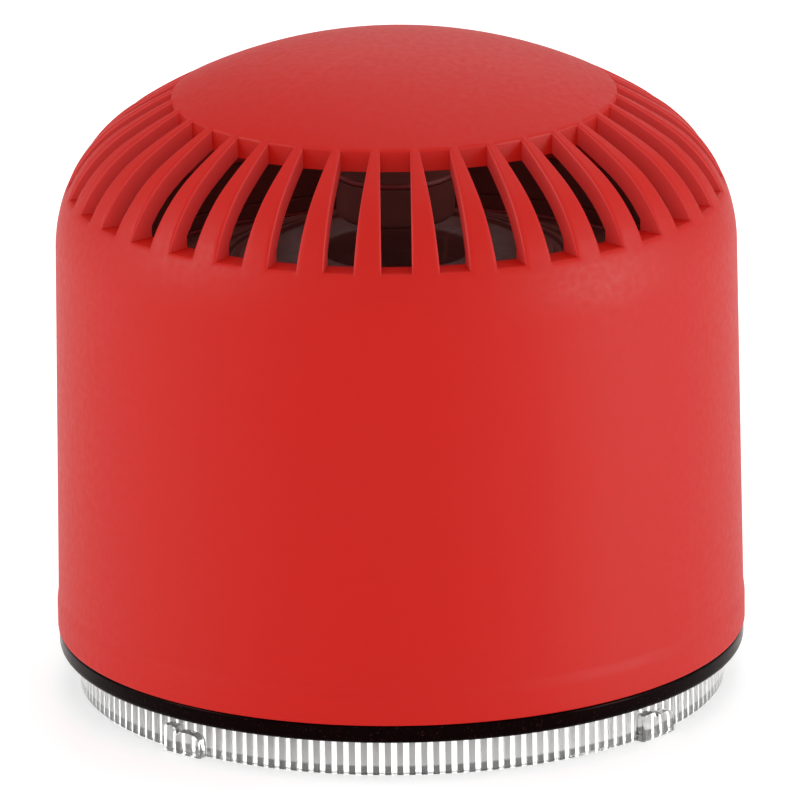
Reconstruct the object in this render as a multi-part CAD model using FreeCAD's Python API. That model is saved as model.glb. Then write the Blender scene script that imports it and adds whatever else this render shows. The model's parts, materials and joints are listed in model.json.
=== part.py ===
import FreeCAD, Part
import math
import os

# Alarm siren module: a slotted red dome over a horn and its driver, a clear light ring with bayonet
# lugs, and the electronics behind a contact plate. Millimetres, +Z up. The origin is the middle of
# the face that the module stands on, the lower rim of the light ring.

os.makedirs("parts", exist_ok=True)
V = FreeCAD.Vector
UP = V(0, 0, 1)

# ---- driving dimensions -------------------------------------------------------------------------
TOTAL_HEIGHT = 102.6
QUARTER_TURNS = 4
SCREW_ANGLE = 45.0
FIT_GAP = 0.1

# red dome
DOME_BOTTOM = 9.0
LIP_RADIUS = 54.0
LIP_TOP = 13.0
SIDE_RADIUS = 53.84
SIDE_DRAFT = 0.014
SHOULDER_RADIUS = 23.5
CROWN_RADIUS = 77.0
DOME_WALL = 3.0
CAVITY_RADIUS = 50.3
CAVITY_STEP = 72.6
NECK_RADIUS = 46.7
EDGE_ROUND = 0.5

# sound slots in the dome
SLOT_COUNT = 36
SLOT_WIDTH = 4.6
SLOT_INNER = 34.5
SLOT_FLOOR = 79.6

# light ring
RING_RADIUS = 50.8
RING_SHOULDER = 6.1
SPIGOT_RADIUS = 49.9
PRISM_COUNT = 168
PRISM_TIP = 46.6
PRISM_ROOT = 48.8
PRISM_GROOVE = 0.95
PRISM_TOP = 9.0
FLANGE_BOTTOM = 11.6
RING_TOP = 14.6
FLANGE_INNER = 43.6
RIM_ROUND = 0.3
PAD_COUNT = 8
PAD_WIDTH = 2.4
REFLECTOR_INNER = 44.6
REFLECTOR_OUTER = 45.6
REFLECTOR_BOTTOM = 0.3

# bayonet lugs
LUG_ANGLE = 49.2
LUG_RADIUS = 52.4
LUG_HALF = 3.7
LUG_TALL = 4.4
LUG_LOW = 3.8
LUG_ROUND = 1.9
LUG_STOP_END = -1.1
LUG_NOTCH = -0.7
LUG_NOTCH_DEPTH = 0.5
LUG_RUN_START = -0.3
LUG_CHAMFER = 0.4

# seal between light ring and dome
COLLAR_INNER = 49.95
COLLAR_RADIUS = 53.8
COLLAR_ROUND = 0.7

# contact plate that closes the underside
PLATE_BOTTOM = 2.0
PLATE_TOP = 4.5
PLATE_RADIUS = 44.2
PLATE_WALL = 2.0
PLATE_FLANGE = 46.3
PLATE_FLANGE_BOTTOM = 9.6
SOCKET_RADIUS = 8.0
SOCKET_DEPTH = 4.3
HUB_RADIUS = 10.5
HUB_TOP = 7.8
POST_RADIUS = 4.2
SCREW_CIRCLE = 39.8
SCREW_RADIUS = 1.6
SCREW_HEAD_RADIUS = 3.1
SCREW_SEAT = 6.5
SCREW_END = 32.6
BOARD_POST_RADIUS = 3.0
BOARD_PILOT_RADIUS = 1.1
BOARD_HOLE_RADIUS = 1.35
SWITCH_WINDOW = (7.0, 14.4)
CONTACT_WINDOW = (26.4, 9.4)

# boards
BOARD_BOTTOM = 8.0
BOARD_THICK = 1.6
BOARD_TOP = BOARD_BOTTOM + BOARD_THICK
BOARD_RADIUS = 40.5
BOARD_SCREW_CIRCLE = 36.0
LED_BOARD_BOTTOM = 16.6
LED_BOARD_TOP = LED_BOARD_BOTTOM + BOARD_THICK
LED_BOARD_INNER = 36.0
LED_BOARD_RADIUS = 49.6
LED_COUNT = 24
LED_CIRCLE = 47.7

# parts on the main board
CAN_RADIUS = 5.0
CAN_HEIGHT = 16.0
CAN_PLACES = ((-20.5, -13.5), (-9.0, -19.5))
COIL_X = 15.0
COIL_Y = -14.0
CORE_BOTTOM = BOARD_TOP + 1.5
CORE_TOP = BOARD_TOP + 18.5
CORE_LENGTH = 20.0
CORE_THICK = 6.0
BOBBIN_BOTTOM = BOARD_TOP + 4.6
BOBBIN_TOP = BOARD_TOP + 15.4
SINK_X = 17.0
SINK_Y = 14.5
SINK_TOP = BOARD_TOP + 18.0
SINK_LENGTH = 22.0
FIN_COUNT = 6
FIN_PITCH = 4.08
CHIP_LENGTH = 10.2
CONTROLLER_X = -12.0
CONTROLLER_Y = 12.0
CONTROLLER_LEAD_PITCH = 1.27
PLUG_Y = 28.5

# dome bosses
BOSS_RADIUS = 3.5
BOSS_BOTTOM = 18.5
BOSS_TOP = 34.6
WEB_THICK = 2.2

# cage that carries the horn
CAGE_INNER = 47.3
CAGE_TOP = 56.6
CAGE_LOW_RING = 23.6
CAGE_HIGH_RING = 50.6
CAGE_WINDOWS = 8
CAGE_WINDOW_ANGLE = 30.0

# horn, its rim seal and the sleeve above it
HORN_RIM_TOP = 62.2
SEAL_TOP = 62.8
SLEEVE_INNER = 46.9
THROAT_RADIUS = 9.3
THROAT_STEP = 0.4
THROAT_STEPS = 4
THROAT_STEP_HEIGHT = 2.2
HORN_CREST = 69.3
RIDGE_START = 20.0
RIDGE_PITCH = 3.0
RIDGE_COUNT = 4
RIDGE_HEIGHT = 0.7
HORN_FALL = 0.25
HORN_SHELL = 2.2
THROAT_WALL = 13.0
DRIVER_SEAT = 53.1
HORN_FLANGE_TOP = 55.6
HORN_FLANGE_RADIUS = 34.0

# deflector under the crown
DEFLECTOR_RADIUS = 9.2
DEFLECTOR_BOTTOM = 74.6
DEFLECTOR_TOP = 98.9
DEFLECTOR_RING_HEIGHT = 81.6
DEFLECTOR_RING_SECTION = 0.5
CROWN_BOSS_RADIUS = 4.5
CROWN_BOSS_BOTTOM = 90.6

# driver
POLE_RADIUS = 9.0
GAP_RADIUS = 10.5
COIL_INNER = 9.4
COIL_OUTER = 10.1
MAGNET_INNER = 13.0
MAGNET_OUTER = 24.0
YOKE_BOTTOM = 36.3
YOKE_PLATE_TOP = 39.3
TOP_PLATE_BOTTOM = 47.3
TOP_PLATE_TOP = 50.8
DIAPHRAGM_RADIUS = 14.9
DIAPHRAGM_BOTTOM = 52.4
DIAPHRAGM_THICK = 0.5
DRIVER_SCREW_CIRCLE = 29.5
SURROUND_THICK = 0.8
SURROUND_OUTER = 21.0
HORN_MOUTH_RADIUS = 11.3
HORN_RECESS_RADIUS = 16.5

# parts reached from below
SWITCH_X = -24.0
SWITCH_BOTTOM = 4.6
SWITCH_COUNT = 5
SWITCH_PITCH = 2.54
SWITCH_TRAVEL = 1.6
TRIMMER_X = 24.0
TRIMMER_BOTTOM = 4.4
TRIMMER_RADIUS = 3.3
ROTOR_RADIUS = 1.9
ROTOR_BOTTOM = 3.7
ROTOR_TOP = 5.9
SLIDER_BOTTOM = 3.6
SLIDER_TOP = 6.0
RUNNING_GAP = 0.08
CONTACT_Y = -24.0
CONTACT_COUNT = 4
CONTACT_PITCH = 6.0
CONTACT_PIN_RADIUS = 0.8
CONTACT_TIP = 0.7
PIN_COLLAR_RADIUS = 1.25
PIN_COLLAR_BOTTOM = 4.6
PIN_COLLAR_TOP = 5.4
PIN_END = 6.2
SPRING_WELL_RADIUS = 1.4
SPRING_WELL_BOTTOM = 4.3


# ---- helpers ------------------------------------------------------------------------------------
class Outline:
    """A closed outline in the radius-height plane, which turns about Z into a solid."""

    def __init__(self, radius, height):
        self.start = V(radius, 0, height)
        self.last = self.start
        self.edges = []

    def line(self, radius, height):
        end = V(radius, 0, height)
        self.edges.append(Part.makeLine(self.last, end))
        self.last = end
        return self

    def arc(self, centre, end_angle):
        """Arc about centre from the last point round to end_angle, in degrees above the outward way."""
        dr = self.last.x - centre[0]
        dz = self.last.z - centre[1]
        radius = math.hypot(dr, dz)
        first = math.atan2(dz, dr)
        last = math.radians(end_angle)
        points = []
        for angle in ((first + last) / 2, last):
            points.append(V(centre[0] + radius * math.cos(angle), 0, centre[1] + radius * math.sin(angle)))
        self.edges.append(Part.Arc(self.last, points[0], points[1]).toShape())
        self.last = points[1]
        return self

    def solid(self):
        if self.last.distanceToPoint(self.start) > 1e-7:
            self.edges.append(Part.makeLine(self.last, self.start))
        return Part.Face(Part.Wire(self.edges)).revolve(V(0, 0, 0), UP, 360)


def disc(radius, bottom, top, x=0.0, y=0.0):
    return Part.makeCylinder(radius, top - bottom, V(x, y, bottom))


def ring(inner, outer, bottom, top):
    return disc(outer, bottom, top).cut(disc(inner, bottom - 1, top + 1))


def block(x, y, bottom, top, along_x, along_y):
    """Upright box centred on x, y."""
    return Part.makeBox(along_x, along_y, top - bottom, V(x - along_x / 2, y - along_y / 2, bottom))


def spoke(inner, outer, bottom, top, width):
    """Radial bar that points at the viewer's side, -Y."""
    return Part.makeBox(width, outer - inner, top - bottom, V(-width / 2, -outer, bottom))


def turned(shape, angle):
    """Copy turned about Z."""
    copy = shape.copy()
    copy.rotate(V(0, 0, 0), UP, angle)
    return copy


def around(shape, count, first=0.0):
    return [turned(shape, first + index * 360.0 / count) for index in range(count)]


def group(shapes):
    return Part.makeCompound(shapes)


def screw(x, y, seat, end, shank, head, head_height, direction=1):
    """Pan screw with a cross recess. Its shank runs from the seat to end, its head the other way."""
    face = seat - direction * head_height
    low, high = min(seat, end), max(seat, end)
    body = disc(shank, low, high, x, y)
    body = body.fuse(disc(head, min(face, seat), max(face, seat), x, y))
    depth = head_height * 0.6
    cut_low = face if direction > 0 else face - depth
    arm = head * 1.2
    blade = head * 0.26
    for long_x, long_y in ((arm, blade), (blade, arm)):
        body = body.cut(block(x, y, cut_low, cut_low + depth, long_x, long_y))
    return body.removeSplitter()


def write(name, shape):
    shape.exportStep("parts/" + name + ".step")


# ---- red dome -----------------------------------------------------------------------------------
def side_radius(height):
    return SIDE_RADIUS - SIDE_DRAFT * (height - DOME_BOTTOM)


def shoulder_centre():
    """Centre of the arc that is tangent to the drafted side and to the crown."""
    slope = math.sqrt(1 + SIDE_DRAFT ** 2)
    crown_height = TOTAL_HEIGHT - CROWN_RADIUS
    reach = CROWN_RADIUS - SHOULDER_RADIUS
    base = side_radius(0.0) - SHOULDER_RADIUS * slope
    half = base * SIDE_DRAFT + crown_height
    rest = base ** 2 + crown_height ** 2 - reach ** 2
    height = (half + math.sqrt(half ** 2 - slope ** 2 * rest)) / slope ** 2
    return base - SIDE_DRAFT * height, height


def dome_body():
    centre = shoulder_centre()
    crown_height = TOTAL_HEIGHT - CROWN_RADIUS
    join_angle = math.degrees(math.atan2(centre[1] - crown_height, centre[0]))
    slope = math.sqrt(1 + SIDE_DRAFT ** 2)
    side_end = (centre[0] + SHOULDER_RADIUS / slope, centre[1] + SHOULDER_RADIUS * SIDE_DRAFT / slope)
    inner_crown = CROWN_RADIUS - DOME_WALL
    inner_shoulder = SHOULDER_RADIUS - DOME_WALL
    neck_rise = math.sqrt(inner_shoulder ** 2 - (NECK_RADIUS - centre[0]) ** 2)
    outline = Outline(CAVITY_RADIUS, DOME_BOTTOM)
    outline.line(LIP_RADIUS - EDGE_ROUND, DOME_BOTTOM)
    outline.arc((LIP_RADIUS - EDGE_ROUND, DOME_BOTTOM + EDGE_ROUND), 0)
    outline.line(LIP_RADIUS, LIP_TOP)
    outline.line(side_radius(LIP_TOP), LIP_TOP + (LIP_RADIUS - side_radius(LIP_TOP)))
    outline.line(*side_end)
    outline.arc(centre, join_angle)
    outline.arc((0, crown_height), 90)
    outline.line(0, crown_height + inner_crown)
    outline.arc((0, crown_height), join_angle)
    outline.arc(centre, math.degrees(math.atan2(neck_rise, NECK_RADIUS - centre[0])))
    outline.line(NECK_RADIUS, CAVITY_STEP)
    outline.line(CAVITY_RADIUS, CAVITY_STEP)
    return outline.solid()


def dome_boss():
    """Screw boss and the web that ties it to the wall."""
    boss = disc(BOSS_RADIUS, BOSS_BOTTOM, BOSS_TOP, 0, -SCREW_CIRCLE)
    boss = boss.fuse(spoke(SCREW_CIRCLE + 2, CAVITY_RADIUS + 0.5, BOSS_BOTTOM, BOSS_TOP, WEB_THICK))
    return boss.cut(disc(SCREW_RADIUS, BOSS_BOTTOM - 1, SCREW_END + 0.5, 0, -SCREW_CIRCLE))


def siren_housing():
    dome = dome_body()
    crown_boss = disc(CROWN_BOSS_RADIUS, CROWN_BOSS_BOTTOM, TOTAL_HEIGHT - DOME_WALL / 2)
    dome = dome.fuse([crown_boss] + around(dome_boss(), QUARTER_TURNS, SCREW_ANGLE))
    slot = spoke(SLOT_INNER, LIP_RADIUS + 5, SLOT_FLOOR, TOTAL_HEIGHT + 5, SLOT_WIDTH)
    dome = dome.cut(around(slot, SLOT_COUNT))
    dome = dome.cut(disc(1.5, CROWN_BOSS_BOTTOM - 1, DEFLECTOR_TOP - 0.3))
    return dome.removeSplitter()


# ---- light ring, seal and reflector -------------------------------------------------------------
def bayonet_lug():
    """Lug with a tall stop, a small notch and a lower run with a rounded end."""
    points = [(-LUG_HALF, 0), (-LUG_HALF, LUG_TALL - LUG_CHAMFER), (-LUG_HALF + LUG_CHAMFER, LUG_TALL)]
    points += [(LUG_STOP_END, LUG_TALL), (LUG_NOTCH, LUG_LOW - LUG_NOTCH_DEPTH), (LUG_RUN_START, LUG_LOW)]
    vectors = [V(x, -LUG_RADIUS - 1, z) for x, z in points]
    end_start = V(LUG_HALF - LUG_ROUND, -LUG_RADIUS - 1, LUG_LOW)
    lean = LUG_ROUND * (1 - math.sqrt(0.5))
    end_mid = V(LUG_HALF - lean, -LUG_RADIUS - 1, LUG_LOW - lean)
    end_last = V(LUG_HALF, -LUG_RADIUS - 1, LUG_LOW - LUG_ROUND)
    corner = V(LUG_HALF, -LUG_RADIUS - 1, 0)
    edges = [Part.makeLine(a, b) for a, b in zip(vectors, vectors[1:])]
    edges.append(Part.makeLine(vectors[-1], end_start))
    edges.append(Part.Arc(end_start, end_mid, end_last).toShape())
    edges.append(Part.makeLine(end_last, corner))
    edges.append(Part.makeLine(corner, vectors[0]))
    bar = Part.Face(Part.Wire(edges)).extrude(V(0, LUG_RADIUS - RING_RADIUS + 2, 0))
    return bar.common(disc(LUG_RADIUS, 0, LUG_TALL + 1))


def lens_ring():
    outline = Outline(PRISM_TIP, 0)
    outline.line(RING_RADIUS - RIM_ROUND, 0)
    outline.arc((RING_RADIUS - RIM_ROUND, RIM_ROUND), 0)
    outline.line(RING_RADIUS, RING_SHOULDER)
    outline.line(SPIGOT_RADIUS, RING_SHOULDER)
    outline.line(SPIGOT_RADIUS, RING_TOP)
    outline.line(FLANGE_INNER, RING_TOP)
    outline.line(FLANGE_INNER, FLANGE_BOTTOM)
    outline.line(PRISM_TIP, FLANGE_BOTTOM)
    body = outline.solid()
    lugs = around(bayonet_lug(), QUARTER_TURNS, LUG_ANGLE)
    pad = spoke(FLANGE_INNER + 0.6, SPIGOT_RADIUS - 0.6, RING_TOP - 0.5, LED_BOARD_BOTTOM, PAD_WIDTH)
    body = body.fuse(lugs + around(pad, PAD_COUNT))
    groove = spoke(PRISM_TIP - 1, PRISM_ROOT, -1, PRISM_TOP, PRISM_GROOVE)
    return body.cut(around(groove, PRISM_COUNT)).removeSplitter()


def seal_collar():
    outline = Outline(COLLAR_INNER, RING_SHOULDER)
    outline.line(COLLAR_RADIUS - COLLAR_ROUND, RING_SHOULDER)
    outline.arc((COLLAR_RADIUS - COLLAR_ROUND, RING_SHOULDER + COLLAR_ROUND), 0)
    outline.line(COLLAR_RADIUS, DOME_BOTTOM - COLLAR_ROUND)
    outline.arc((COLLAR_RADIUS - COLLAR_ROUND, DOME_BOTTOM - COLLAR_ROUND), 90)
    outline.line(COLLAR_INNER, DOME_BOTTOM)
    return outline.solid()


def led_reflector():
    return ring(REFLECTOR_INNER, REFLECTOR_OUTER, REFLECTOR_BOTTOM, PLATE_FLANGE_BOTTOM - 0.2)


# ---- contact plate and its screws ---------------------------------------------------------------
def base_plate():
    wall_inner = PLATE_RADIUS - PLATE_WALL
    outline = Outline(0, PLATE_BOTTOM)
    outline.line(PLATE_RADIUS - 0.5, PLATE_BOTTOM)
    outline.line(PLATE_RADIUS, PLATE_BOTTOM + 0.5)
    outline.line(PLATE_RADIUS, PLATE_FLANGE_BOTTOM)
    outline.line(PLATE_FLANGE, PLATE_FLANGE_BOTTOM)
    outline.line(PLATE_FLANGE, FLANGE_BOTTOM)
    outline.line(wall_inner, FLANGE_BOTTOM)
    outline.line(wall_inner, PLATE_TOP)
    outline.line(HUB_RADIUS, PLATE_TOP)
    outline.line(HUB_RADIUS, HUB_TOP)
    outline.line(0, HUB_TOP)
    plate = outline.solid()
    screw_post = disc(POST_RADIUS, PLATE_BOTTOM, FLANGE_BOTTOM, 0, -SCREW_CIRCLE)
    board_post = disc(BOARD_POST_RADIUS, PLATE_TOP - 0.5, BOARD_BOTTOM, 0, -BOARD_SCREW_CIRCLE)
    plate = plate.fuse(around(screw_post, QUARTER_TURNS, SCREW_ANGLE) + around(board_post, QUARTER_TURNS))
    head_well = disc(SCREW_HEAD_RADIUS + 0.3, PLATE_BOTTOM - 1, SCREW_SEAT, 0, -SCREW_CIRCLE)
    shank_hole = disc(SCREW_RADIUS + 0.15, SCREW_SEAT - 1, FLANGE_BOTTOM + 1, 0, -SCREW_CIRCLE)
    pilot = disc(BOARD_PILOT_RADIUS, PLATE_TOP, BOARD_BOTTOM + 1, 0, -BOARD_SCREW_CIRCLE)
    holes = around(head_well, QUARTER_TURNS, SCREW_ANGLE) + around(shank_hole, QUARTER_TURNS, SCREW_ANGLE)
    holes += around(pilot, QUARTER_TURNS)
    holes.append(disc(SOCKET_RADIUS, PLATE_BOTTOM - 1, PLATE_BOTTOM + SOCKET_DEPTH))
    holes.append(block(SWITCH_X, 0, 0, PLATE_TOP + 1, *SWITCH_WINDOW))
    holes.append(disc(TRIMMER_RADIUS + 0.6, 0, PLATE_TOP + 1, TRIMMER_X, 0))
    holes.append(block(0, CONTACT_Y, 0, PLATE_TOP + 1, *CONTACT_WINDOW))
    return plate.cut(holes).removeSplitter()


def base_screws():
    x, y = 0, -SCREW_CIRCLE
    one = screw(x, y, SCREW_SEAT, SCREW_END, SCREW_RADIUS, SCREW_HEAD_RADIUS, 2.2)
    return group(around(one, QUARTER_TURNS, SCREW_ANGLE))


# ---- contacts, switches and trimmer -------------------------------------------------------------
def contact_x(index):
    return (index - (CONTACT_COUNT - 1) / 2) * CONTACT_PITCH


def contact_block():
    body = block(0, CONTACT_Y, PLATE_BOTTOM, BOARD_BOTTOM, 26.0, 9.0)
    for index in range(CONTACT_COUNT):
        x = contact_x(index)
        guide = disc(CONTACT_PIN_RADIUS + RUNNING_GAP, PLATE_BOTTOM - 1, SPRING_WELL_BOTTOM + 0.1, x, CONTACT_Y)
        well = disc(SPRING_WELL_RADIUS, SPRING_WELL_BOTTOM, BOARD_BOTTOM - 0.2, x, CONTACT_Y)
        body = body.cut([guide, well])
    return body


def contact_pin(index):
    """Round-nosed plunger with a collar that stops it in the block."""
    nose = CONTACT_TIP + CONTACT_PIN_RADIUS
    outline = Outline(0, CONTACT_TIP)
    outline.arc((0, nose), 0)
    outline.line(CONTACT_PIN_RADIUS, PIN_COLLAR_BOTTOM)
    outline.line(PIN_COLLAR_RADIUS, PIN_COLLAR_BOTTOM)
    outline.line(PIN_COLLAR_RADIUS, PIN_COLLAR_TOP)
    outline.line(CONTACT_PIN_RADIUS, PIN_COLLAR_TOP)
    outline.line(CONTACT_PIN_RADIUS, PIN_END)
    outline.line(0, PIN_END)
    pin = outline.solid()
    pin.translate(V(contact_x(index), CONTACT_Y, 0))
    return pin


def switch_y(index):
    return (index - (SWITCH_COUNT - 1) / 2) * SWITCH_PITCH


def tone_switch_body():
    body = block(SWITCH_X, 0, SWITCH_BOTTOM, BOARD_BOTTOM, 6.2, 13.6)
    for index in range(SWITCH_COUNT):
        body = body.cut(block(SWITCH_X, switch_y(index), SWITCH_BOTTOM - 1, 6.2, 3.2, 1.5))
    return body


def tone_switch_slider(index):
    x = SWITCH_X - SWITCH_TRAVEL / 2
    return block(x, switch_y(index), SLIDER_BOTTOM, SLIDER_TOP, 1.2, 1.3)


def volume_trimmer_body():
    body = disc(TRIMMER_RADIUS, TRIMMER_BOTTOM, BOARD_BOTTOM, TRIMMER_X, 0)
    return body.cut(disc(ROTOR_RADIUS + RUNNING_GAP, TRIMMER_BOTTOM - 1, ROTOR_TOP + 0.1, TRIMMER_X, 0))


def volume_trimmer_rotor():
    rotor = disc(ROTOR_RADIUS, ROTOR_BOTTOM, ROTOR_TOP, TRIMMER_X, 0)
    return rotor.cut(block(TRIMMER_X, 0, ROTOR_BOTTOM - 1, ROTOR_BOTTOM + 0.9, 0.7, 3.0))


# ---- boards and what they carry -----------------------------------------------------------------
def main_board():
    board = disc(BOARD_RADIUS, BOARD_BOTTOM, BOARD_TOP)
    notch = disc(POST_RADIUS + 0.5, BOARD_BOTTOM - 1, BOARD_TOP + 1, 0, -SCREW_CIRCLE)
    hole = disc(BOARD_HOLE_RADIUS, BOARD_BOTTOM - 1, BOARD_TOP + 1, 0, -BOARD_SCREW_CIRCLE)
    return board.cut(around(notch, QUARTER_TURNS, SCREW_ANGLE) + around(hole, QUARTER_TURNS))


def board_screws():
    one = screw(0, -BOARD_SCREW_CIRCLE, BOARD_TOP, 5.2, BOARD_PILOT_RADIUS, 2.1, 1.6, direction=-1)
    return group(around(one, QUARTER_TURNS))


def smoothing_capacitors():
    """Two upright cans with a crimped groove near the foot."""
    outline = Outline(0, BOARD_TOP)
    crimp = 0.4
    outline.line(CAN_RADIUS, BOARD_TOP)
    outline.line(CAN_RADIUS, BOARD_TOP + 1.6)
    outline.line(CAN_RADIUS - crimp, BOARD_TOP + 2.1)
    outline.line(CAN_RADIUS, BOARD_TOP + 2.6)
    outline.line(CAN_RADIUS, BOARD_TOP + CAN_HEIGHT - crimp)
    outline.line(CAN_RADIUS - crimp, BOARD_TOP + CAN_HEIGHT)
    outline.line(0, BOARD_TOP + CAN_HEIGHT)
    cans = []
    for x, y in CAN_PLACES:
        can = outline.solid()
        can.translate(V(x, y, 0))
        cans.append(can)
    return group(cans)


def transformer_core():
    """Closed core with a window on each side of its middle leg."""
    core = block(COIL_X, COIL_Y, CORE_BOTTOM, CORE_TOP, CORE_LENGTH, CORE_THICK)
    window_width = 5.0
    for side in (-1, 1):
        x = COIL_X + side * (CORE_THICK + window_width) / 2
        core = core.cut(block(x, COIL_Y, CORE_BOTTOM + 3, CORE_TOP - 3, window_width, CORE_THICK + 2))
    return core


def output_transformer():
    """Bobbin and winding round the middle leg of the core."""
    low, high = BOBBIN_BOTTOM, BOBBIN_TOP
    cheek = 1.0
    winding = block(COIL_X, COIL_Y, low + cheek, high - cheek, 15.0, 15.0)
    winding = winding.makeFillet(2.5, [edge for edge in winding.Edges if abs(edge.tangentAt(0).z) > 0.9])
    for bottom, top in ((low, low + cheek), (high - cheek, high)):
        winding = winding.fuse(block(COIL_X, COIL_Y, bottom, top, 15.8, 16.2))
    for side in (-1, 1):
        winding = winding.fuse(block(COIL_X, COIL_Y + side * 7.0, BOARD_TOP, low + 0.5, 14.0, 2.0))
    leg = CORE_THICK + FIT_GAP
    return winding.cut(block(COIL_X, COIL_Y, low - 1, high + 1, leg, leg)).removeSplitter()


def heat_sink():
    base = block(SINK_X, SINK_Y, BOARD_TOP, SINK_TOP, SINK_LENGTH, 2.0)
    fins = []
    for index in range(FIN_COUNT):
        x = SINK_X + (index - (FIN_COUNT - 1) / 2) * FIN_PITCH
        fins.append(block(x, SINK_Y + 3.5, BOARD_TOP, SINK_TOP, 1.4, 6.0))
    return base.fuse(fins).removeSplitter()


def amplifier_chip():
    """Chip on its legs, its tab flat against the heat sink."""
    y = SINK_Y - 3.3
    case = block(SINK_X, y, BOARD_TOP + 4.0, BOARD_TOP + 13.0, CHIP_LENGTH, 4.4)
    tab = block(SINK_X, SINK_Y - 1.5, BOARD_TOP + 12.5, BOARD_TOP + 17.0, CHIP_LENGTH, 1.0)
    legs = []
    for index in range(5):
        legs.append(block(SINK_X + (index - 2) * 1.7, y, BOARD_TOP, BOARD_TOP + 4.5, 0.8, 0.5))
    return case.fuse([tab] + legs).removeSplitter()


def controller_chip():
    body = block(CONTROLLER_X, CONTROLLER_Y, BOARD_TOP + 0.3, BOARD_TOP + 2.3, 10.0, 7.5)
    legs = []
    for index in range(7):
        x = CONTROLLER_X + (index - 3) * CONTROLLER_LEAD_PITCH
        legs.append(block(x, CONTROLLER_Y, BOARD_TOP, BOARD_TOP + 0.8, 0.45, 10.2))
    return body.fuse(legs).removeSplitter()


def surface_parts():
    """Chip resistors, ceramic capacitors and a resonator in rows."""
    parts = []
    for row in range(3):
        for column in range(5):
            x = -22.0 + column * 4.0
            y = 20.0 + row * 3.2
            parts.append(block(x, y, BOARD_TOP, BOARD_TOP + 0.7, 2.0, 1.25))
    for column in range(4):
        parts.append(block(2.0 + column * 2.6, 3.0, BOARD_TOP, BOARD_TOP + 1.1, 1.6, 3.2))
    parts.append(block(-26.0, 10.0, BOARD_TOP, BOARD_TOP + 3.2, 4.6, 8.0))
    return group(parts)


def board_connector():
    shell = block(0, PLUG_Y, BOARD_TOP, BOARD_TOP + 6.0, 8.4, 5.6)
    return shell.cut(block(0, PLUG_Y, BOARD_TOP + 1.2, BOARD_TOP + 7.0, 6.8, 4.0))


def board_header():
    """Pin strip that joins the two boards."""
    strip = spoke(36.6, 39.1, BOARD_TOP, LED_BOARD_BOTTOM, 9.0)
    return turned(strip, -70.0)


def led_board():
    board = ring(LED_BOARD_INNER, LED_BOARD_RADIUS, LED_BOARD_BOTTOM, LED_BOARD_TOP)
    hole = disc(SCREW_RADIUS + 0.3, LED_BOARD_BOTTOM - 1, LED_BOARD_TOP + 1, 0, -SCREW_CIRCLE)
    return board.cut(around(hole, QUARTER_TURNS, SCREW_ANGLE))


def leds():
    case = spoke(LED_CIRCLE - 1.4, LED_CIRCLE + 1.4, LED_BOARD_BOTTOM - 1.0, LED_BOARD_BOTTOM, 3.0)
    return group(around(case, LED_COUNT, 180.0 / LED_COUNT))


# ---- cage, horn and sleeve ----------------------------------------------------------------------
def inner_cage():
    cage = ring(CAGE_INNER, SPIGOT_RADIUS, LED_BOARD_TOP, CAGE_TOP)
    half = math.radians(CAGE_WINDOW_ANGLE / 2)
    reach = SPIGOT_RADIUS + 6
    corners = [V(0, 0, CAGE_LOW_RING)]
    for side in (-1, 1):
        corners.append(V(side * reach * math.sin(half), -reach * math.cos(half), CAGE_LOW_RING))
    corners.append(corners[0])
    window = Part.Face(Part.makePolygon(corners)).extrude(V(0, 0, CAGE_HIGH_RING - CAGE_LOW_RING))
    notch = spoke(CAGE_INNER - 2, SPIGOT_RADIUS + 2, LED_BOARD_TOP - 1, CAGE_LOW_RING + 1, WEB_THICK + 1.0)
    cuts = around(window, CAGE_WINDOWS) + around(notch, QUARTER_TURNS, SCREW_ANGLE)
    return cage.cut(cuts).removeSplitter()


def horn_height(radius):
    """Upper face of the horn plate outside its crest."""
    return HORN_CREST - HORN_FALL * (radius - RIDGE_START)


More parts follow.
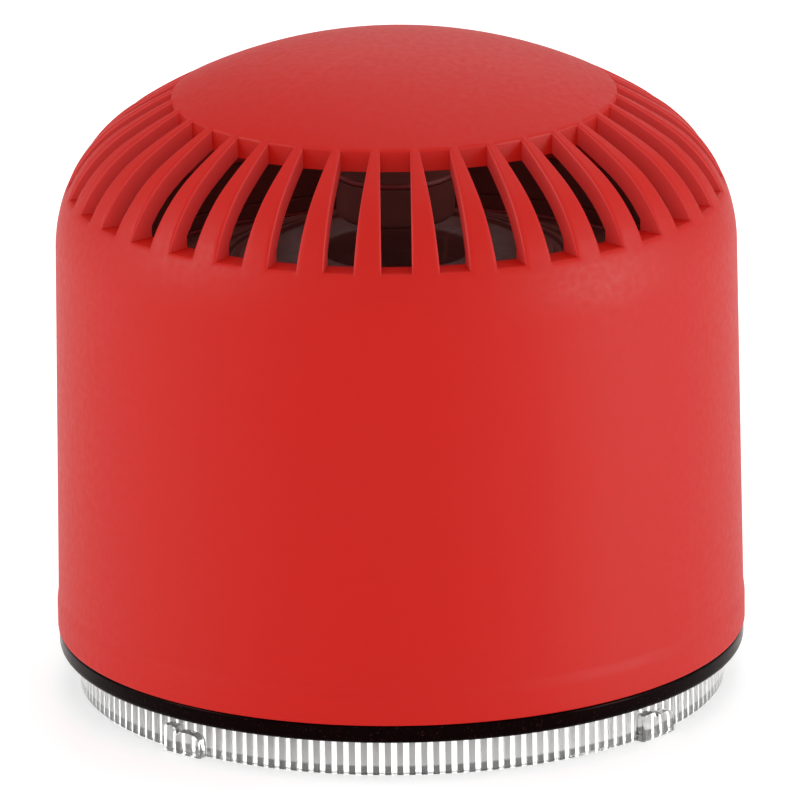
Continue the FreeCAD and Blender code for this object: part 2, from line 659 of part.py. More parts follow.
def horn_bowl():
    outline = Outline(THROAT_RADIUS, DRIVER_SEAT + 4.0)
    radius, height = THROAT_RADIUS, DRIVER_SEAT + 4.0
    for _ in range(THROAT_STEPS):
        height += THROAT_STEP_HEIGHT
        outline.line(radius, height)
        radius += THROAT_STEP
        outline.line(radius, height + 0.2)
    outline.line(radius, HORN_CREST - 2.2)
    outline.arc((radius + 1.6, HORN_CREST - 2.2), 90)
    outline.line(RIDGE_START, HORN_CREST)
    for index in range(RIDGE_COUNT):
        start = RIDGE_START + index * RIDGE_PITCH
        outline.line(start + 0.6, horn_height(start + 0.6) + RIDGE_HEIGHT)
        outline.line(start + 1.4, horn_height(start + 1.4) + RIDGE_HEIGHT)
        outline.line(start + 2.0, horn_height(start + 2.0))
        outline.line(start + RIDGE_PITCH, horn_height(start + RIDGE_PITCH))
    outline.line(SLEEVE_INNER - 1.2, HORN_RIM_TOP)
    outline.line(SPIGOT_RADIUS, HORN_RIM_TOP)
    outline.line(SPIGOT_RADIUS, CAGE_TOP)
    outline.line(SLEEVE_INNER, CAGE_TOP)
    outline.line(SLEEVE_INNER - 1.2, HORN_RIM_TOP - HORN_SHELL)
    outline.line(RIDGE_START, HORN_CREST - HORN_SHELL)
    outline.line(THROAT_WALL, HORN_CREST - HORN_SHELL)
    outline.line(THROAT_WALL, HORN_FLANGE_TOP)
    outline.line(HORN_FLANGE_RADIUS, HORN_FLANGE_TOP)
    outline.line(HORN_FLANGE_RADIUS, DRIVER_SEAT)
    outline.line(HORN_RECESS_RADIUS, DRIVER_SEAT)
    outline.line(HORN_RECESS_RADIUS, DRIVER_SEAT + 1.0)
    outline.line(HORN_MOUTH_RADIUS, DRIVER_SEAT + 1.0)
    outline.line(HORN_MOUTH_RADIUS, DRIVER_SEAT + 4.0)
    horn = outline.solid()
    rib = spoke(THROAT_WALL - 0.5, HORN_FLANGE_RADIUS - 1, HORN_FLANGE_TOP - 0.5, HORN_CREST - 5.0, 1.6)
    horn = horn.fuse(around(rib, 8, SCREW_ANGLE / 2))
    pilot = disc(1.2, DRIVER_SEAT - 1, HORN_FLANGE_TOP - 0.1, 0, -DRIVER_SCREW_CIRCLE)
    return horn.cut(around(pilot, QUARTER_TURNS, SCREW_ANGLE)).removeSplitter()


def horn_seal():
    return ring(SLEEVE_INNER - 0.3, SPIGOT_RADIUS, HORN_RIM_TOP, SEAL_TOP)


def sound_sleeve():
    """Sleeve between the horn rim and the step in the dome, with one shallow groove."""
    outline = Outline(SLEEVE_INNER, SEAL_TOP)
    outline.line(SPIGOT_RADIUS, SEAL_TOP)
    outline.line(SPIGOT_RADIUS, CAVITY_STEP)
    outline.line(SLEEVE_INNER, CAVITY_STEP)
    outline.line(SLEEVE_INNER, SEAL_TOP + 2.6)
    outline.line(SLEEVE_INNER + 0.4, SEAL_TOP + 2.4)
    outline.line(SLEEVE_INNER, SEAL_TOP + 2.2)
    return outline.solid()


# ---- deflector ----------------------------------------------------------------------------------
def sound_deflector():
    edge = 1.2
    groove = DEFLECTOR_RING_SECTION
    outline = Outline(3.4, DEFLECTOR_BOTTOM)
    outline.line(DEFLECTOR_RADIUS - edge, DEFLECTOR_BOTTOM)
    outline.arc((DEFLECTOR_RADIUS - edge, DEFLECTOR_BOTTOM + edge), 0)
    outline.line(DEFLECTOR_RADIUS, DEFLECTOR_RING_HEIGHT - groove)
    outline.line(DEFLECTOR_RADIUS - 2 * groove, DEFLECTOR_RING_HEIGHT - groove)
    outline.line(DEFLECTOR_RADIUS - 2 * groove, DEFLECTOR_RING_HEIGHT + groove)
    outline.line(DEFLECTOR_RADIUS, DEFLECTOR_RING_HEIGHT + groove)
    outline.line(DEFLECTOR_RADIUS, DEFLECTOR_TOP)
    outline.line(CROWN_BOSS_RADIUS + FIT_GAP, DEFLECTOR_TOP)
    outline.line(CROWN_BOSS_RADIUS + FIT_GAP, CROWN_BOSS_BOTTOM)
    outline.line(SCREW_RADIUS, CROWN_BOSS_BOTTOM)
    outline.line(SCREW_RADIUS, DEFLECTOR_BOTTOM + 5)
    outline.line(3.4, DEFLECTOR_BOTTOM + 5)
    return outline.solid()


def deflector_ring():
    centre = V(0, 0, DEFLECTOR_RING_HEIGHT)
    return Part.makeTorus(DEFLECTOR_RADIUS - DEFLECTOR_RING_SECTION, DEFLECTOR_RING_SECTION, centre)


def deflector_screw():
    return screw(0, 0, DEFLECTOR_BOTTOM + 5, DEFLECTOR_TOP - 1, 1.5, 2.9, 2.2)


# ---- driver -------------------------------------------------------------------------------------
def phase_plug():
    """Middle plug on three thin arms in a ring."""
    outline = Outline(0, DRIVER_SEAT + 1.7)
    outline.line(4.5, DRIVER_SEAT + 1.7)
    outline.line(4.5, DRIVER_SEAT + 5.0)
    outline.line(0, DRIVER_SEAT + 11.0)
    plug = outline.solid()
    arms = around(spoke(3.5, 10.2, DRIVER_SEAT + 2.0, DRIVER_SEAT + 3.6, 1.4), 3)
    rim = ring(9.8, 11.2, DRIVER_SEAT + 1.2, DRIVER_SEAT + 3.9)
    return plug.fuse([rim] + arms).removeSplitter()


def diaphragm():
    """Thin dome with a flat rim."""
    rise = 1.0
    base = DIAPHRAGM_BOTTOM + DIAPHRAGM_THICK
    dome_radius = (COIL_OUTER ** 2 + rise ** 2) / (2 * rise)
    centre = (0, base + rise - dome_radius)
    inner_start = math.sqrt((dome_radius - DIAPHRAGM_THICK) ** 2 - (DIAPHRAGM_BOTTOM - centre[1]) ** 2)
    outline = Outline(inner_start, DIAPHRAGM_BOTTOM)
    outline.line(DIAPHRAGM_RADIUS, DIAPHRAGM_BOTTOM)
    outline.line(DIAPHRAGM_RADIUS, base)
    outline.line(COIL_OUTER, base)
    outline.arc(centre, 90)
    outline.line(0, base + rise - DIAPHRAGM_THICK)
    start_angle = math.degrees(math.atan2(DIAPHRAGM_BOTTOM - centre[1], inner_start))
    outline.arc(centre, start_angle)
    return outline.solid()


def voice_coil():
    former = ring(COIL_INNER, COIL_INNER + 0.25, TOP_PLATE_BOTTOM - 1.0, DIAPHRAGM_BOTTOM)
    winding = ring(COIL_INNER, COIL_OUTER, TOP_PLATE_BOTTOM - 1.0, TOP_PLATE_TOP + 0.4)
    return former.fuse(winding).removeSplitter()


def diaphragm_surround():
    """Soft ring with one raised roll, clamped between frame and horn."""
    bottom, top = DRIVER_SEAT - SURROUND_THICK, DRIVER_SEAT
    outline = Outline(DIAPHRAGM_RADIUS + 0.3, bottom)
    outline.line(SURROUND_OUTER, bottom)
    outline.line(SURROUND_OUTER, top)
    outline.line(16.3, top)
    outline.arc((15.9, top), 180)
    outline.line(DIAPHRAGM_RADIUS + 0.3, top)
    return outline.solid()


def driver_frame():
    outline = Outline(17.5, TOP_PLATE_TOP)
    outline.line(24.4, TOP_PLATE_TOP)
    outline.line(24.4, TOP_PLATE_TOP - 5.0)
    outline.line(26.4, TOP_PLATE_TOP - 5.0)
    outline.line(26.4, TOP_PLATE_TOP)
    outline.line(32.5, TOP_PLATE_TOP)
    outline.line(32.5, DRIVER_SEAT)
    outline.line(SURROUND_OUTER + 0.2, DRIVER_SEAT)
    outline.line(SURROUND_OUTER + 0.2, DRIVER_SEAT - SURROUND_THICK)
    outline.line(17.5, DRIVER_SEAT - SURROUND_THICK)
    frame = outline.solid()
    hole = disc(BOARD_HOLE_RADIUS, TOP_PLATE_TOP - 1, DRIVER_SEAT + 1, 0, -DRIVER_SCREW_CIRCLE)
    return frame.cut(around(hole, QUARTER_TURNS, SCREW_ANGLE))


def driver_screws():
    one = screw(0, -DRIVER_SCREW_CIRCLE, TOP_PLATE_TOP, HORN_FLANGE_TOP - 0.3, 1.2, 2.3, 1.7)
    return group(around(one, QUARTER_TURNS, SCREW_ANGLE))


def driver_top_plate():
    return ring(GAP_RADIUS, MAGNET_OUTER, TOP_PLATE_BOTTOM, TOP_PLATE_TOP)


def driver_magnet():
    chamfer = 0.6
    outline = Outline(MAGNET_INNER, YOKE_PLATE_TOP)
    outline.line(MAGNET_OUTER - chamfer, YOKE_PLATE_TOP)
    outline.line(MAGNET_OUTER, YOKE_PLATE_TOP + chamfer)
    outline.line(MAGNET_OUTER, TOP_PLATE_BOTTOM - chamfer)
    outline.line(MAGNET_OUTER - chamfer, TOP_PLATE_BOTTOM)
    outline.line(MAGNET_INNER, TOP_PLATE_BOTTOM)
    return outline.solid()


def driver_yoke():
    vent = 2.5
    outline = Outline(vent, YOKE_BOTTOM)
    outline.line(MAGNET_OUTER - 2.0, YOKE_BOTTOM)
    outline.line(MAGNET_OUTER - 1.0, YOKE_BOTTOM + 1.0)
    outline.line(MAGNET_OUTER - 1.0, YOKE_PLATE_TOP)
    outline.line(POLE_RADIUS, YOKE_PLATE_TOP)
    outline.line(POLE_RADIUS, TOP_PLATE_TOP)
    outline.line(vent, TOP_PLATE_TOP)
    return outline.solid()


def driver_terminals():
    tags = []
    for side in (-1, 1):
        tag = block(side * 4.0, 29.5, TOP_PLATE_TOP - 6.0, TOP_PLATE_TOP, 2.8, 0.8)
        tags.append(tag.cut(Part.makeCylinder(0.6, 4, V(side * 4.0, 27.5, TOP_PLATE_TOP - 4.5), V(0, 1, 0))))
    return group(tags)


def driver_leads():
    """Two thin wires from the driver's tags down to the connector on the board."""
    wires = []
    for side in (-1, 1):
        points = [V(side * 4.0, 30.6, TOP_PLATE_TOP - 4.5), V(side * 4.2, 34.0, TOP_PLATE_TOP - 9.0)]
        points += [V(side * 3.0, 33.0, 27.0), V(side * 1.5, PLUG_Y, BOARD_TOP + 8.0)]
        points += [V(side * 1.5, PLUG_Y, BOARD_TOP + 1.4)]
        curve = Part.BSplineCurve()
        curve.interpolate(points)
        path = Part.Wire(curve.toShape())
        start = curve.tangent(curve.FirstParameter)[0]
        section = Part.Wire(Part.makeCircle(0.6, points[0], start))
        wires.append(path.makePipeShell([section], True, True))
    return group(wires)


# ---- write every piece --------------------------------------------------------------------------
PIECES = (
    siren_housing, seal_collar, lens_ring, led_reflector, base_plate, base_screws, contact_block,
    tone_switch_body, volume_trimmer_body, volume_trimmer_rotor, main_board, board_screws,
    smoothing_capacitors, transformer_core, output_transformer, heat_sink, amplifier_chip,
    controller_chip, surface_parts, board_connector, board_header, led_board, leds, inner_cage,
    horn_bowl, horn_seal, sound_sleeve, sound_deflector, deflector_ring, deflector_screw, phase_plug,
    diaphragm, voice_coil, diaphragm_surround, driver_frame, driver_screws, driver_top_plate,
    driver_magnet, driver_yoke, driver_terminals, driver_leads,
)

for piece in PIECES:
    write(piece.__name__, piece())
for number in range(CONTACT_COUNT):
    write("contact_pin_%d" % (number + 1), contact_pin(number))
for number in range(SWITCH_COUNT):
    write("tone_switch_slider_%d" % (number + 1), tone_switch_slider(number))
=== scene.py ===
import json
import math

import bmesh
import bpy
from mathutils import Matrix, Vector


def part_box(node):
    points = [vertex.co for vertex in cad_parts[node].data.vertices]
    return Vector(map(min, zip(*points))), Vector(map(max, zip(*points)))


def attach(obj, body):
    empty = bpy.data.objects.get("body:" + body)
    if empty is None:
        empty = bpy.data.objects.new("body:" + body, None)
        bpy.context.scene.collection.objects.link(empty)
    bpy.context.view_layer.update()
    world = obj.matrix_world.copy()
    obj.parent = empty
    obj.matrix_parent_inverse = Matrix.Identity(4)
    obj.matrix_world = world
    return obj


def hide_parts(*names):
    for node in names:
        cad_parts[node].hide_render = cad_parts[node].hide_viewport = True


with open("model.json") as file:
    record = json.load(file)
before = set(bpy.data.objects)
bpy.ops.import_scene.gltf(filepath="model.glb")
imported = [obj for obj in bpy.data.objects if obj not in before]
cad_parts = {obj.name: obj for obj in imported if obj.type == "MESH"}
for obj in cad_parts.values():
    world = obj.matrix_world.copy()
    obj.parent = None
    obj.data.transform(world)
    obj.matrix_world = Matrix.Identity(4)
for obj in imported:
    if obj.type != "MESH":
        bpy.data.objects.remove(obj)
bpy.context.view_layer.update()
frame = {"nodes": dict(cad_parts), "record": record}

# Alarm siren module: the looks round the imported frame. Lengths in the shapes below are in
# millimetres and become metres in new_piece; +Z is up and angle 0 is -Y, growing toward +X.

MM = 0.001
WELD = 2e-7
BODY = "siren_body"
TAU = 2 * math.pi

# ---- sizes that the frame gives ------------------------------------------------------------------


def top_of(node):
    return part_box(node)[1].z / MM


def bottom_of(node):
    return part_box(node)[0].z / MM


def radius_of(node):
    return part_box(node)[1].x / MM


DOME_BOTTOM = bottom_of("siren_housing")
DOME_TOP = top_of("siren_housing")
LIP_RADIUS = radius_of("siren_housing")
RING_RADIUS = 50.8
RING_TOP = 14.6
SPIGOT_RADIUS = 49.9
COLLAR_RADIUS = radius_of("seal_collar")
COLLAR_BOTTOM = bottom_of("seal_collar")
COLLAR_TOP = top_of("seal_collar")
SLEEVE_INNER = 46.9
SEAL_TOP = top_of("horn_seal")
HORN_RIM_TOP = bottom_of("horn_seal")
CAGE_TOP = top_of("inner_cage")
DEFLECTOR_BOTTOM = bottom_of("sound_deflector")
DEFLECTOR_TOP = top_of("sound_deflector")
DEFLECTOR_RADIUS = 9.2
CROWN_BOSS_BOTTOM = 90.6

# dome shape, as in the part
LIP_TOP = 13.0
SIDE_RADIUS = 53.84
SIDE_DRAFT = 0.014
SHOULDER_RADIUS = 23.5
CROWN_RADIUS = 77.0
DOME_WALL = 3.0
CAVITY_RADIUS = 50.3
CAVITY_STEP = 72.6
NECK_RADIUS = 46.7
SLOT_COUNT = 36
SLOT_HALF = 2.3
SLOT_INNER = 34.5
SLOT_FLOOR = 79.6
SLOT_EDGE = 0.42
SLOT_EDGE_OUT = 0.85
LIP_BLEND = 2.4


# ---- mesh helpers --------------------------------------------------------------------------------
def arc(centre, radius, first, last, steps):
    """Points on an arc in the radius-height plane, angles in degrees above the outward way."""
    points = []
    for index in range(steps + 1):
        angle = math.radians(first + (last - first) * index / steps)
        points.append((centre[0] + radius * math.cos(angle), centre[1] + radius * math.sin(angle)))
    return points


def rounded(corners, steps=4, closed=True):
    """Corners (a, b, radius) joined by straight runs, each corner rounded by its own radius."""
    points = []
    count = len(corners)
    for index, (a, b, radius) in enumerate(corners):
        here = Vector((a, b))
        ends = not closed and index in (0, count - 1)
        if radius <= 0 or ends:
            points.append((a, b))
            continue
        before = Vector(corners[index - 1][:2]) - here
        after = Vector(corners[(index + 1) % count][:2]) - here
        turn = before.angle(after)
        reach = min(radius / math.tan(turn / 2), before.length * 0.49, after.length * 0.49)
        start = here + before.normalized() * reach
        end = here + after.normalized() * reach
        for step in range(steps + 1):
            t = step / steps
            point = start * (1 - t) ** 2 + here * 2 * t * (1 - t) + end * t ** 2
            points.append((point.x, point.y))
    return points


def new_piece(name, vertices, faces, material, sharp=35.0):
    """Mesh object from millimetre vertices: welded, with outward normals and smooth curved faces."""
    mesh = bpy.data.meshes.new(name)
    mesh.from_pydata([Vector(v) * MM for v in vertices], [], faces)
    work = bmesh.new()
    work.from_mesh(mesh)
    bmesh.ops.remove_doubles(work, verts=work.verts, dist=WELD)
    bmesh.ops.dissolve_degenerate(work, edges=work.edges, dist=1e-8)
    bmesh.ops.recalc_face_normals(work, faces=work.faces)
    work.to_mesh(mesh)
    work.free()
    return dress(bpy.data.objects.new(name, mesh), material, sharp)


def dress(piece, material, sharp=35.0, weighted=True):
    """Links the piece, shades it smooth between its sharp edges and lets it ride on the body."""
    if piece.name not in bpy.context.scene.collection.objects:
        bpy.context.scene.collection.objects.link(piece)
    piece.data.polygons.foreach_set("use_smooth", [True] * len(piece.data.polygons))
    piece.data.set_sharp_from_angle(angle=math.radians(sharp))
    if weighted:
        normals = piece.modifiers.new("normals", "WEIGHTED_NORMAL")
        normals.keep_sharp = True
    piece.data.materials.clear()
    piece.data.materials.append(material)
    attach(piece, BODY)
    return piece


def turned_shell(outline, segments):
    """Vertices and faces of a closed outline turned about Z."""
    vertices = []
    faces = []
    count = len(outline)
    for index in range(segments):
        angle = TAU * index / segments
        for radius, height in outline:
            vertices.append((radius * math.sin(angle), -radius * math.cos(angle), height))
    for index in range(segments):
        first = index * count
        second = (index + 1) % segments * count
        for step in range(count):
            after = (step + 1) % count
            faces.append((first + step, second + step, second + after, first + after))
    return vertices, faces


def turned_piece(name, outline, material, segments):
    vertices, faces = turned_shell(outline, segments)
    return new_piece(name, vertices, faces, material)


def join_shells(shells):
    """Several (vertices, faces) shells as one."""
    vertices = []
    faces = []
    for shell_vertices, shell_faces in shells:
        offset = len(vertices)
        vertices.extend(shell_vertices)
        faces.extend(tuple(index + offset for index in face) for face in shell_faces)
    return vertices, faces


def turn_shell(shell, angle):
    """The shell turned about Z, so that what is at -Y goes to the given angle in degrees."""
    sine, cosine = math.sin(math.radians(angle)), math.cos(math.radians(angle))
    vertices = [(x * cosine - y * sine, x * sine + y * cosine, z) for x, y, z in shell[0]]
    return vertices, shell[1]


def box_shell(low, high):
    xs, ys, zs = zip(low, high)
    corners = [(x, y, z) for x in xs for y in ys for z in zs]
    faces = [(0, 1, 3, 2), (4, 6, 7, 5), (0, 4, 5, 1), (2, 3, 7, 6), (0, 2, 6, 4), (1, 5, 7, 3)]
    return corners, faces


def shift_shell(shell, dy):
    return [(x, y + dy, z) for x, y, z in shell[0]], shell[1]


# ---- materials -----------------------------------------------------------------------------------
class Shade:
    """Node material built up in object space, so its grain keeps its real size."""

    def __init__(self, name, colour, roughness, metallic=0.0):
        self.material = bpy.data.materials.new(name)
        self.material.use_nodes = True
        self.tree = self.material.node_tree
        self.shader = self.tree.nodes["Principled BSDF"]
        self.shader.inputs["Metallic"].default_value = metallic
        self.shader.inputs["Base Color"].default_value = (*colour, 1)
        self.shader.inputs["Roughness"].default_value = roughness
        self.colour = colour
        self.roughness = roughness
        self.place = self.tree.nodes.new("ShaderNodeTexCoord").outputs["Object"]
        self.bump_normal = None

    def node(self, kind, **values):
        made = self.tree.nodes.new(kind)
        for key, value in values.items():
            if key in made.inputs:
                made.inputs[key].default_value = value
            else:
                setattr(made, key, value)
        return made

    def link(self, source, target):
        self.tree.links.new(source, target)

    def stretched(self, x, y, z):
        """Object coordinates scaled along each axis, for drawn or turned grain."""
        mapping = self.node("ShaderNodeMapping")
        mapping.inputs["Scale"].default_value = (x, y, z)
        self.link(self.place, mapping.inputs["Vector"])
        return mapping.outputs["Vector"]

    def noise(self, scale, detail=3.0, place=None):
        made = self.node("ShaderNodeTexNoise", Scale=scale, Detail=detail)
        self.link(place or self.place, made.inputs["Vector"])
        return made.outputs["Fac"]

    def ramp(self, source, low, high, first, last):
        made = self.node("ShaderNodeMapRange")
        made.inputs["From Min"].default_value = low
        made.inputs["From Max"].default_value = high
        made.inputs["To Min"].default_value = first
        made.inputs["To Max"].default_value = last
        self.link(source, made.inputs["Value"])
        return made.outputs["Result"]

    def mix(self, factor, first, second):
        """Blend of two colours; each is a colour or an output."""
        made = self.node("ShaderNodeMix", data_type="RGBA")
        self.link(factor, made.inputs[0])
        for slot, value in ((6, first), (7, second)):
            if isinstance(value, tuple):
                made.inputs[slot].default_value = (*value, 1)
            else:
                self.link(value, made.inputs[slot])
        return made.outputs[2]

    def set_colour(self, output):
        self.link(output, self.shader.inputs["Base Color"])
        return self

    def vary_roughness(self, scale, spread, place=None):
        fac = self.ramp(self.noise(scale, 4.0, place), 0.3, 0.7,
                        max(self.roughness - spread, 0.02), self.roughness + spread)
        self.link(fac, self.shader.inputs["Roughness"])
        return self

    def bump(self, source, distance):
        made = self.node("ShaderNodeBump", Distance=distance, Strength=1.0)
        self.link(source, made.inputs["Height"])
        if self.bump_normal is not None:
            self.link(self.bump_normal, made.inputs["Normal"])
        self.bump_normal = made.outputs["Normal"]
        self.link(self.bump_normal, self.shader.inputs["Normal"])
        return self

    def grain(self, scale, distance, place=None):
        return self.bump(self.noise(scale, 2.0, place), distance)

    def drift(self, other, scale, low=0.35, high=0.65):
        """Slow drift from the base colour to another one."""
        fac = self.ramp(self.noise(scale), low, high, 0.0, 1.0)
        return self.mix(fac, self.colour, other)

    def tone(self, *options):
        return self.set_colour(self.drift(*options))

    def worn(self, base, other, amount=0.5):
        """Convex edges take the other colour."""
        point = self.node("ShaderNodeNewGeometry").outputs["Pointiness"]
        fac = self.ramp(point, 0.52, 0.60, 0.0, amount)
        return self.set_colour(self.mix(fac, base, other))


def red_plastic():
    """Satin red whose slot walls, the faces that look along the rim, carry painted light: a lighter, milky
    red in place of light bounced into the slots.
    """
    shade = Shade("red_plastic", (0.512, 0.0046, 0.0001), 0.54)
    outward = shade.node("ShaderNodeVectorMath", operation="NORMALIZE")
    shade.link(shade.stretched(1, 1, 0), outward.inputs[0])
    across = shade.node("ShaderNodeVectorMath", operation="CROSS_PRODUCT")
    shade.link(outward.outputs["Vector"], across.inputs[0])
    shade.link(shade.node("ShaderNodeTexCoord").outputs["Normal"], across.inputs[1])
    turned = shade.node("ShaderNodeVectorMath", operation="ABSOLUTE")
    shade.link(across.outputs["Vector"], turned.inputs[0])
    parts = shade.node("ShaderNodeSeparateXYZ")
    shade.link(turned.outputs["Vector"], parts.inputs[0])
    # Painted light: faces that look along the rim (the slot walls) are mixed toward a lighter milky red
    # (0.68, 0.045, 0.040), standing in for light bounced into the slots.
    wall = shade.ramp(parts.outputs["Z"], 0.55, 0.95, 0.0, 1.0)
    skin = shade.mix(wall, shade.drift((0.504, 0.0056, 0.0006), 35.0), (0.68, 0.045, 0.040))
    shade.worn(skin, (0.57, 0.012, 0.008), amount=0.3)
    shade.vary_roughness(900.0, 0.05)
    shade.grain(3800.0, 0.000012)
    shade.grain(700.0, 0.00001)
    shade.shader.inputs["IOR"].default_value = 1.33
    shade.shader.inputs["Specular Tint"].default_value = (0.4, 0.75, 0.75, 1)
    return shade.material


def black_rubber():
    shade = Shade("black_rubber", (0.0018, 0.0007, 0.0008), 0.2)
    speck = shade.ramp(shade.noise(2600.0, 1.0), 0.66, 0.74, 0.0, 1.0)
    shade.set_colour(shade.mix(speck, shade.colour, (0.03, 0.009, 0.008)))
    shade.vary_roughness(1500.0, 0.08)
    shade.grain(2600.0, 0.000015)
    shade.shader.inputs["IOR"].default_value = 1.10
    shade.shader.inputs["Specular Tint"].default_value = (0.9, 0.35, 0.32, 1)
    return shade.material


# bands of the clear ring that are not clear, and the low band of its painted foot shadow, in metres: where
# each fades in and out
ROOT_FADE_IN = (0.0480, 0.0482)
ROOT_FADE_OUT = (0.0490, 0.0492)
TIP_FADE_OUT = (0.0467, 0.0469)
FOOT_SHADOW_FADE_OUT = (0.0010, 0.0013)


def clear_plastic():
    """Clear plastic with frosted groove floors in a painted grey shade that turns into a painted dark
    shadow at their foot, and frosted white prism tips that glow with painted light.
    """
    shade = Shade("clear_plastic", (0.985, 0.985, 0.98), 0.04)
    shade.shader.inputs["Transmission Weight"].default_value = 1.0
    shade.shader.inputs["IOR"].default_value = 1.49
    shade.vary_roughness(800.0, 0.025)
    shade.grain(500.0, 0.000008)
    span = shade.node("ShaderNodeVectorMath", operation="LENGTH")
    shade.link(shade.stretched(1, 1, 0), span.inputs[0])
    height = shade.node("ShaderNodeSeparateXYZ")
    shade.link(shade.place, height.inputs[0])
    root = shade.node("ShaderNodeMath", operation="MULTIPLY")
    shade.link(shade.ramp(span.outputs["Value"], *ROOT_FADE_IN, 0.0, 1.0), root.inputs[0])
    shade.link(shade.ramp(span.outputs["Value"], *ROOT_FADE_OUT, 1.0, 0.0), root.inputs[1])
    glowing_tip = shade.ramp(span.outputs["Value"], *TIP_FADE_OUT, 1.0, 0.0)
    # foot masks the low band of the groove floors that takes the painted dark shadow.
    foot = shade.ramp(height.outputs["Z"], *FOOT_SHADOW_FADE_OUT, 1.0, 0.0)
    frosted = shade.node("ShaderNodeMath", operation="MAXIMUM")
    shade.link(root.outputs[0], frosted.inputs[0])
    shade.link(glowing_tip, frosted.inputs[1])
    clearness = shade.ramp(frosted.outputs[0], 0.0, 1.0, 1.0, 0.08)
    shade.link(clearness, shade.shader.inputs["Transmission Weight"])
    # Painted shade: the groove floors are grey (0.54), and near the ground their foot is a painted dark
    # shadow (0.15).
    painted_groove_shade = shade.mix(foot, (0.54, 0.535, 0.53), (0.15, 0.148, 0.145))
    shade.set_colour(shade.mix(root.outputs[0], shade.colour, painted_groove_shade))
    # Painted light: the prism tips glow white by emission, though nothing in the ring is a lit lamp.
    shade.shader.inputs["Emission Color"].default_value = (1, 1, 1, 1)
    shade.link(shade.ramp(glowing_tip, 0.0, 1.0, 0.0, 0.55), shade.shader.inputs["Emission Strength"])
    pass_light(shade)
    return shade.material


def pass_light(shade):
    """Lets light reach what is behind the clear plastic."""
    path = shade.node("ShaderNodeLightPath")
    through = shade.node("ShaderNodeBsdfTransparent", Color=(1, 1, 1, 1))
    either = shade.node("ShaderNodeMixShader")
    shade.link(path.outputs["Is Shadow Ray"], either.inputs[0])
    shade.link(shade.shader.outputs["BSDF"], either.inputs[1])
    shade.link(through.outputs["BSDF"], either.inputs[2])
    shade.link(either.outputs["Shader"], shade.tree.nodes["Material Output"].inputs["Surface"])


def plain_plastic(name, colour, roughness, other=None, grain=3000.0, depth=0.00001):
    shade = Shade(name, colour, roughness)
    shade.set_colour(shade.drift(other or tuple(c * 0.85 for c in colour), 60.0))
    shade.vary_roughness(700.0, 0.05)
    shade.grain(grain, depth)
    return shade.material


def horn_painted_red_bounce():
    # Black plastic painted a dark brown-red: the colour is painted red light bounced from the dome, with a
    # slow drift in tone and lighter worn edges.
    shade = Shade("horn_painted_red_bounce", (0.195, 0.055, 0.047), 0.34)
    shade.worn(shade.drift((0.155, 0.044, 0.038), 90.0), (0.27, 0.076, 0.066), amount=0.5)
    shade.shader.inputs["IOR"].default_value = 1.07
    shade.shader.inputs["Specular Tint"].default_value = (1.0, 0.5, 0.45, 1)
    shade.vary_roughness(600.0, 0.06)
    shade.grain(1800.0, 0.000008)
    return shade.material


def bare_metal(name, colour, roughness, along=(1, 1, 1)):
    shade = Shade(name, colour, roughness, metallic=1.0)
    lines = shade.stretched(*along)
    shade.worn(shade.drift(tuple(c * 0.82 for c in colour), 200.0), tuple(min(c * 1.15, 1) for c in colour))
    shade.vary_roughness(900.0, 0.07, place=lines)
    shade.grain(2500.0, 0.000006, place=lines)
    return shade.material


def board_coat():
    """Green coat over a faint pattern of tracks."""
    shade = Shade("circuit_board", (0.010, 0.105, 0.035), 0.35)
    cells = shade.node("ShaderNodeTexVoronoi", Scale=260.0, feature="DISTANCE_TO_EDGE",
                       distance="MANHATTAN")
    shade.link(shade.place, cells.inputs["Vector"])
    track = shade.ramp(cells.outputs["Distance"], 0.05, 0.09, 1.0, 0.0)
    shade.set_colour(shade.mix(track, shade.colour, (0.020, 0.17, 0.06)))
    shade.bump(track, 0.00003)
    shade.vary_roughness(800.0, 0.06)
    return shade.material


def winding():
    """Varnished wire: fine ridges round the coil."""
    shade = Shade("copper_winding", (0.50, 0.17, 0.04), 0.28)
    wave = shade.node("ShaderNodeTexWave", Scale=900.0, Distortion=0.3, bands_direction="Z")
    shade.link(shade.place, wave.inputs["Vector"])
    shade.set_colour(shade.mix(wave.outputs["Fac"], (0.22, 0.06, 0.015), (0.55, 0.20, 0.05)))
    shade.bump(wave.outputs["Fac"], 0.00008)
    shade.vary_roughness(700.0, 0.06)
    return shade.material


def film():
    shade = Shade("diaphragm_film", (0.55, 0.32, 0.09), 0.22)
    shade.tone((0.45, 0.24, 0.06), 150.0)
    shade.vary_roughness(500.0, 0.05)
    shade.grain(1200.0, 0.00001)
    return shade.material


def led_case():
    """White case whose middle part is a yellow window."""
    shade = Shade("led_case", (0.80, 0.78, 0.70), 0.35)
    shade.tone((0.78, 0.62, 0.10), 420.0, 0.45, 0.5)
    shade.vary_roughness(900.0, 0.06)
    shade.grain(2500.0, 0.00001)
    return shade.material


def ground():
    shade = Shade("ground", (0.97, 0.97, 0.97), 0.62)
    shade.tone((0.96, 0.96, 0.96), 12.0)
    shade.vary_roughness(60.0, 0.05)
    shade.grain(300.0, 0.00002)
    shade.shader.inputs["Emission Color"].default_value = (1, 1, 1, 1)
    shade.shader.inputs["Emission Strength"].default_value = 0.3
    return shade.material


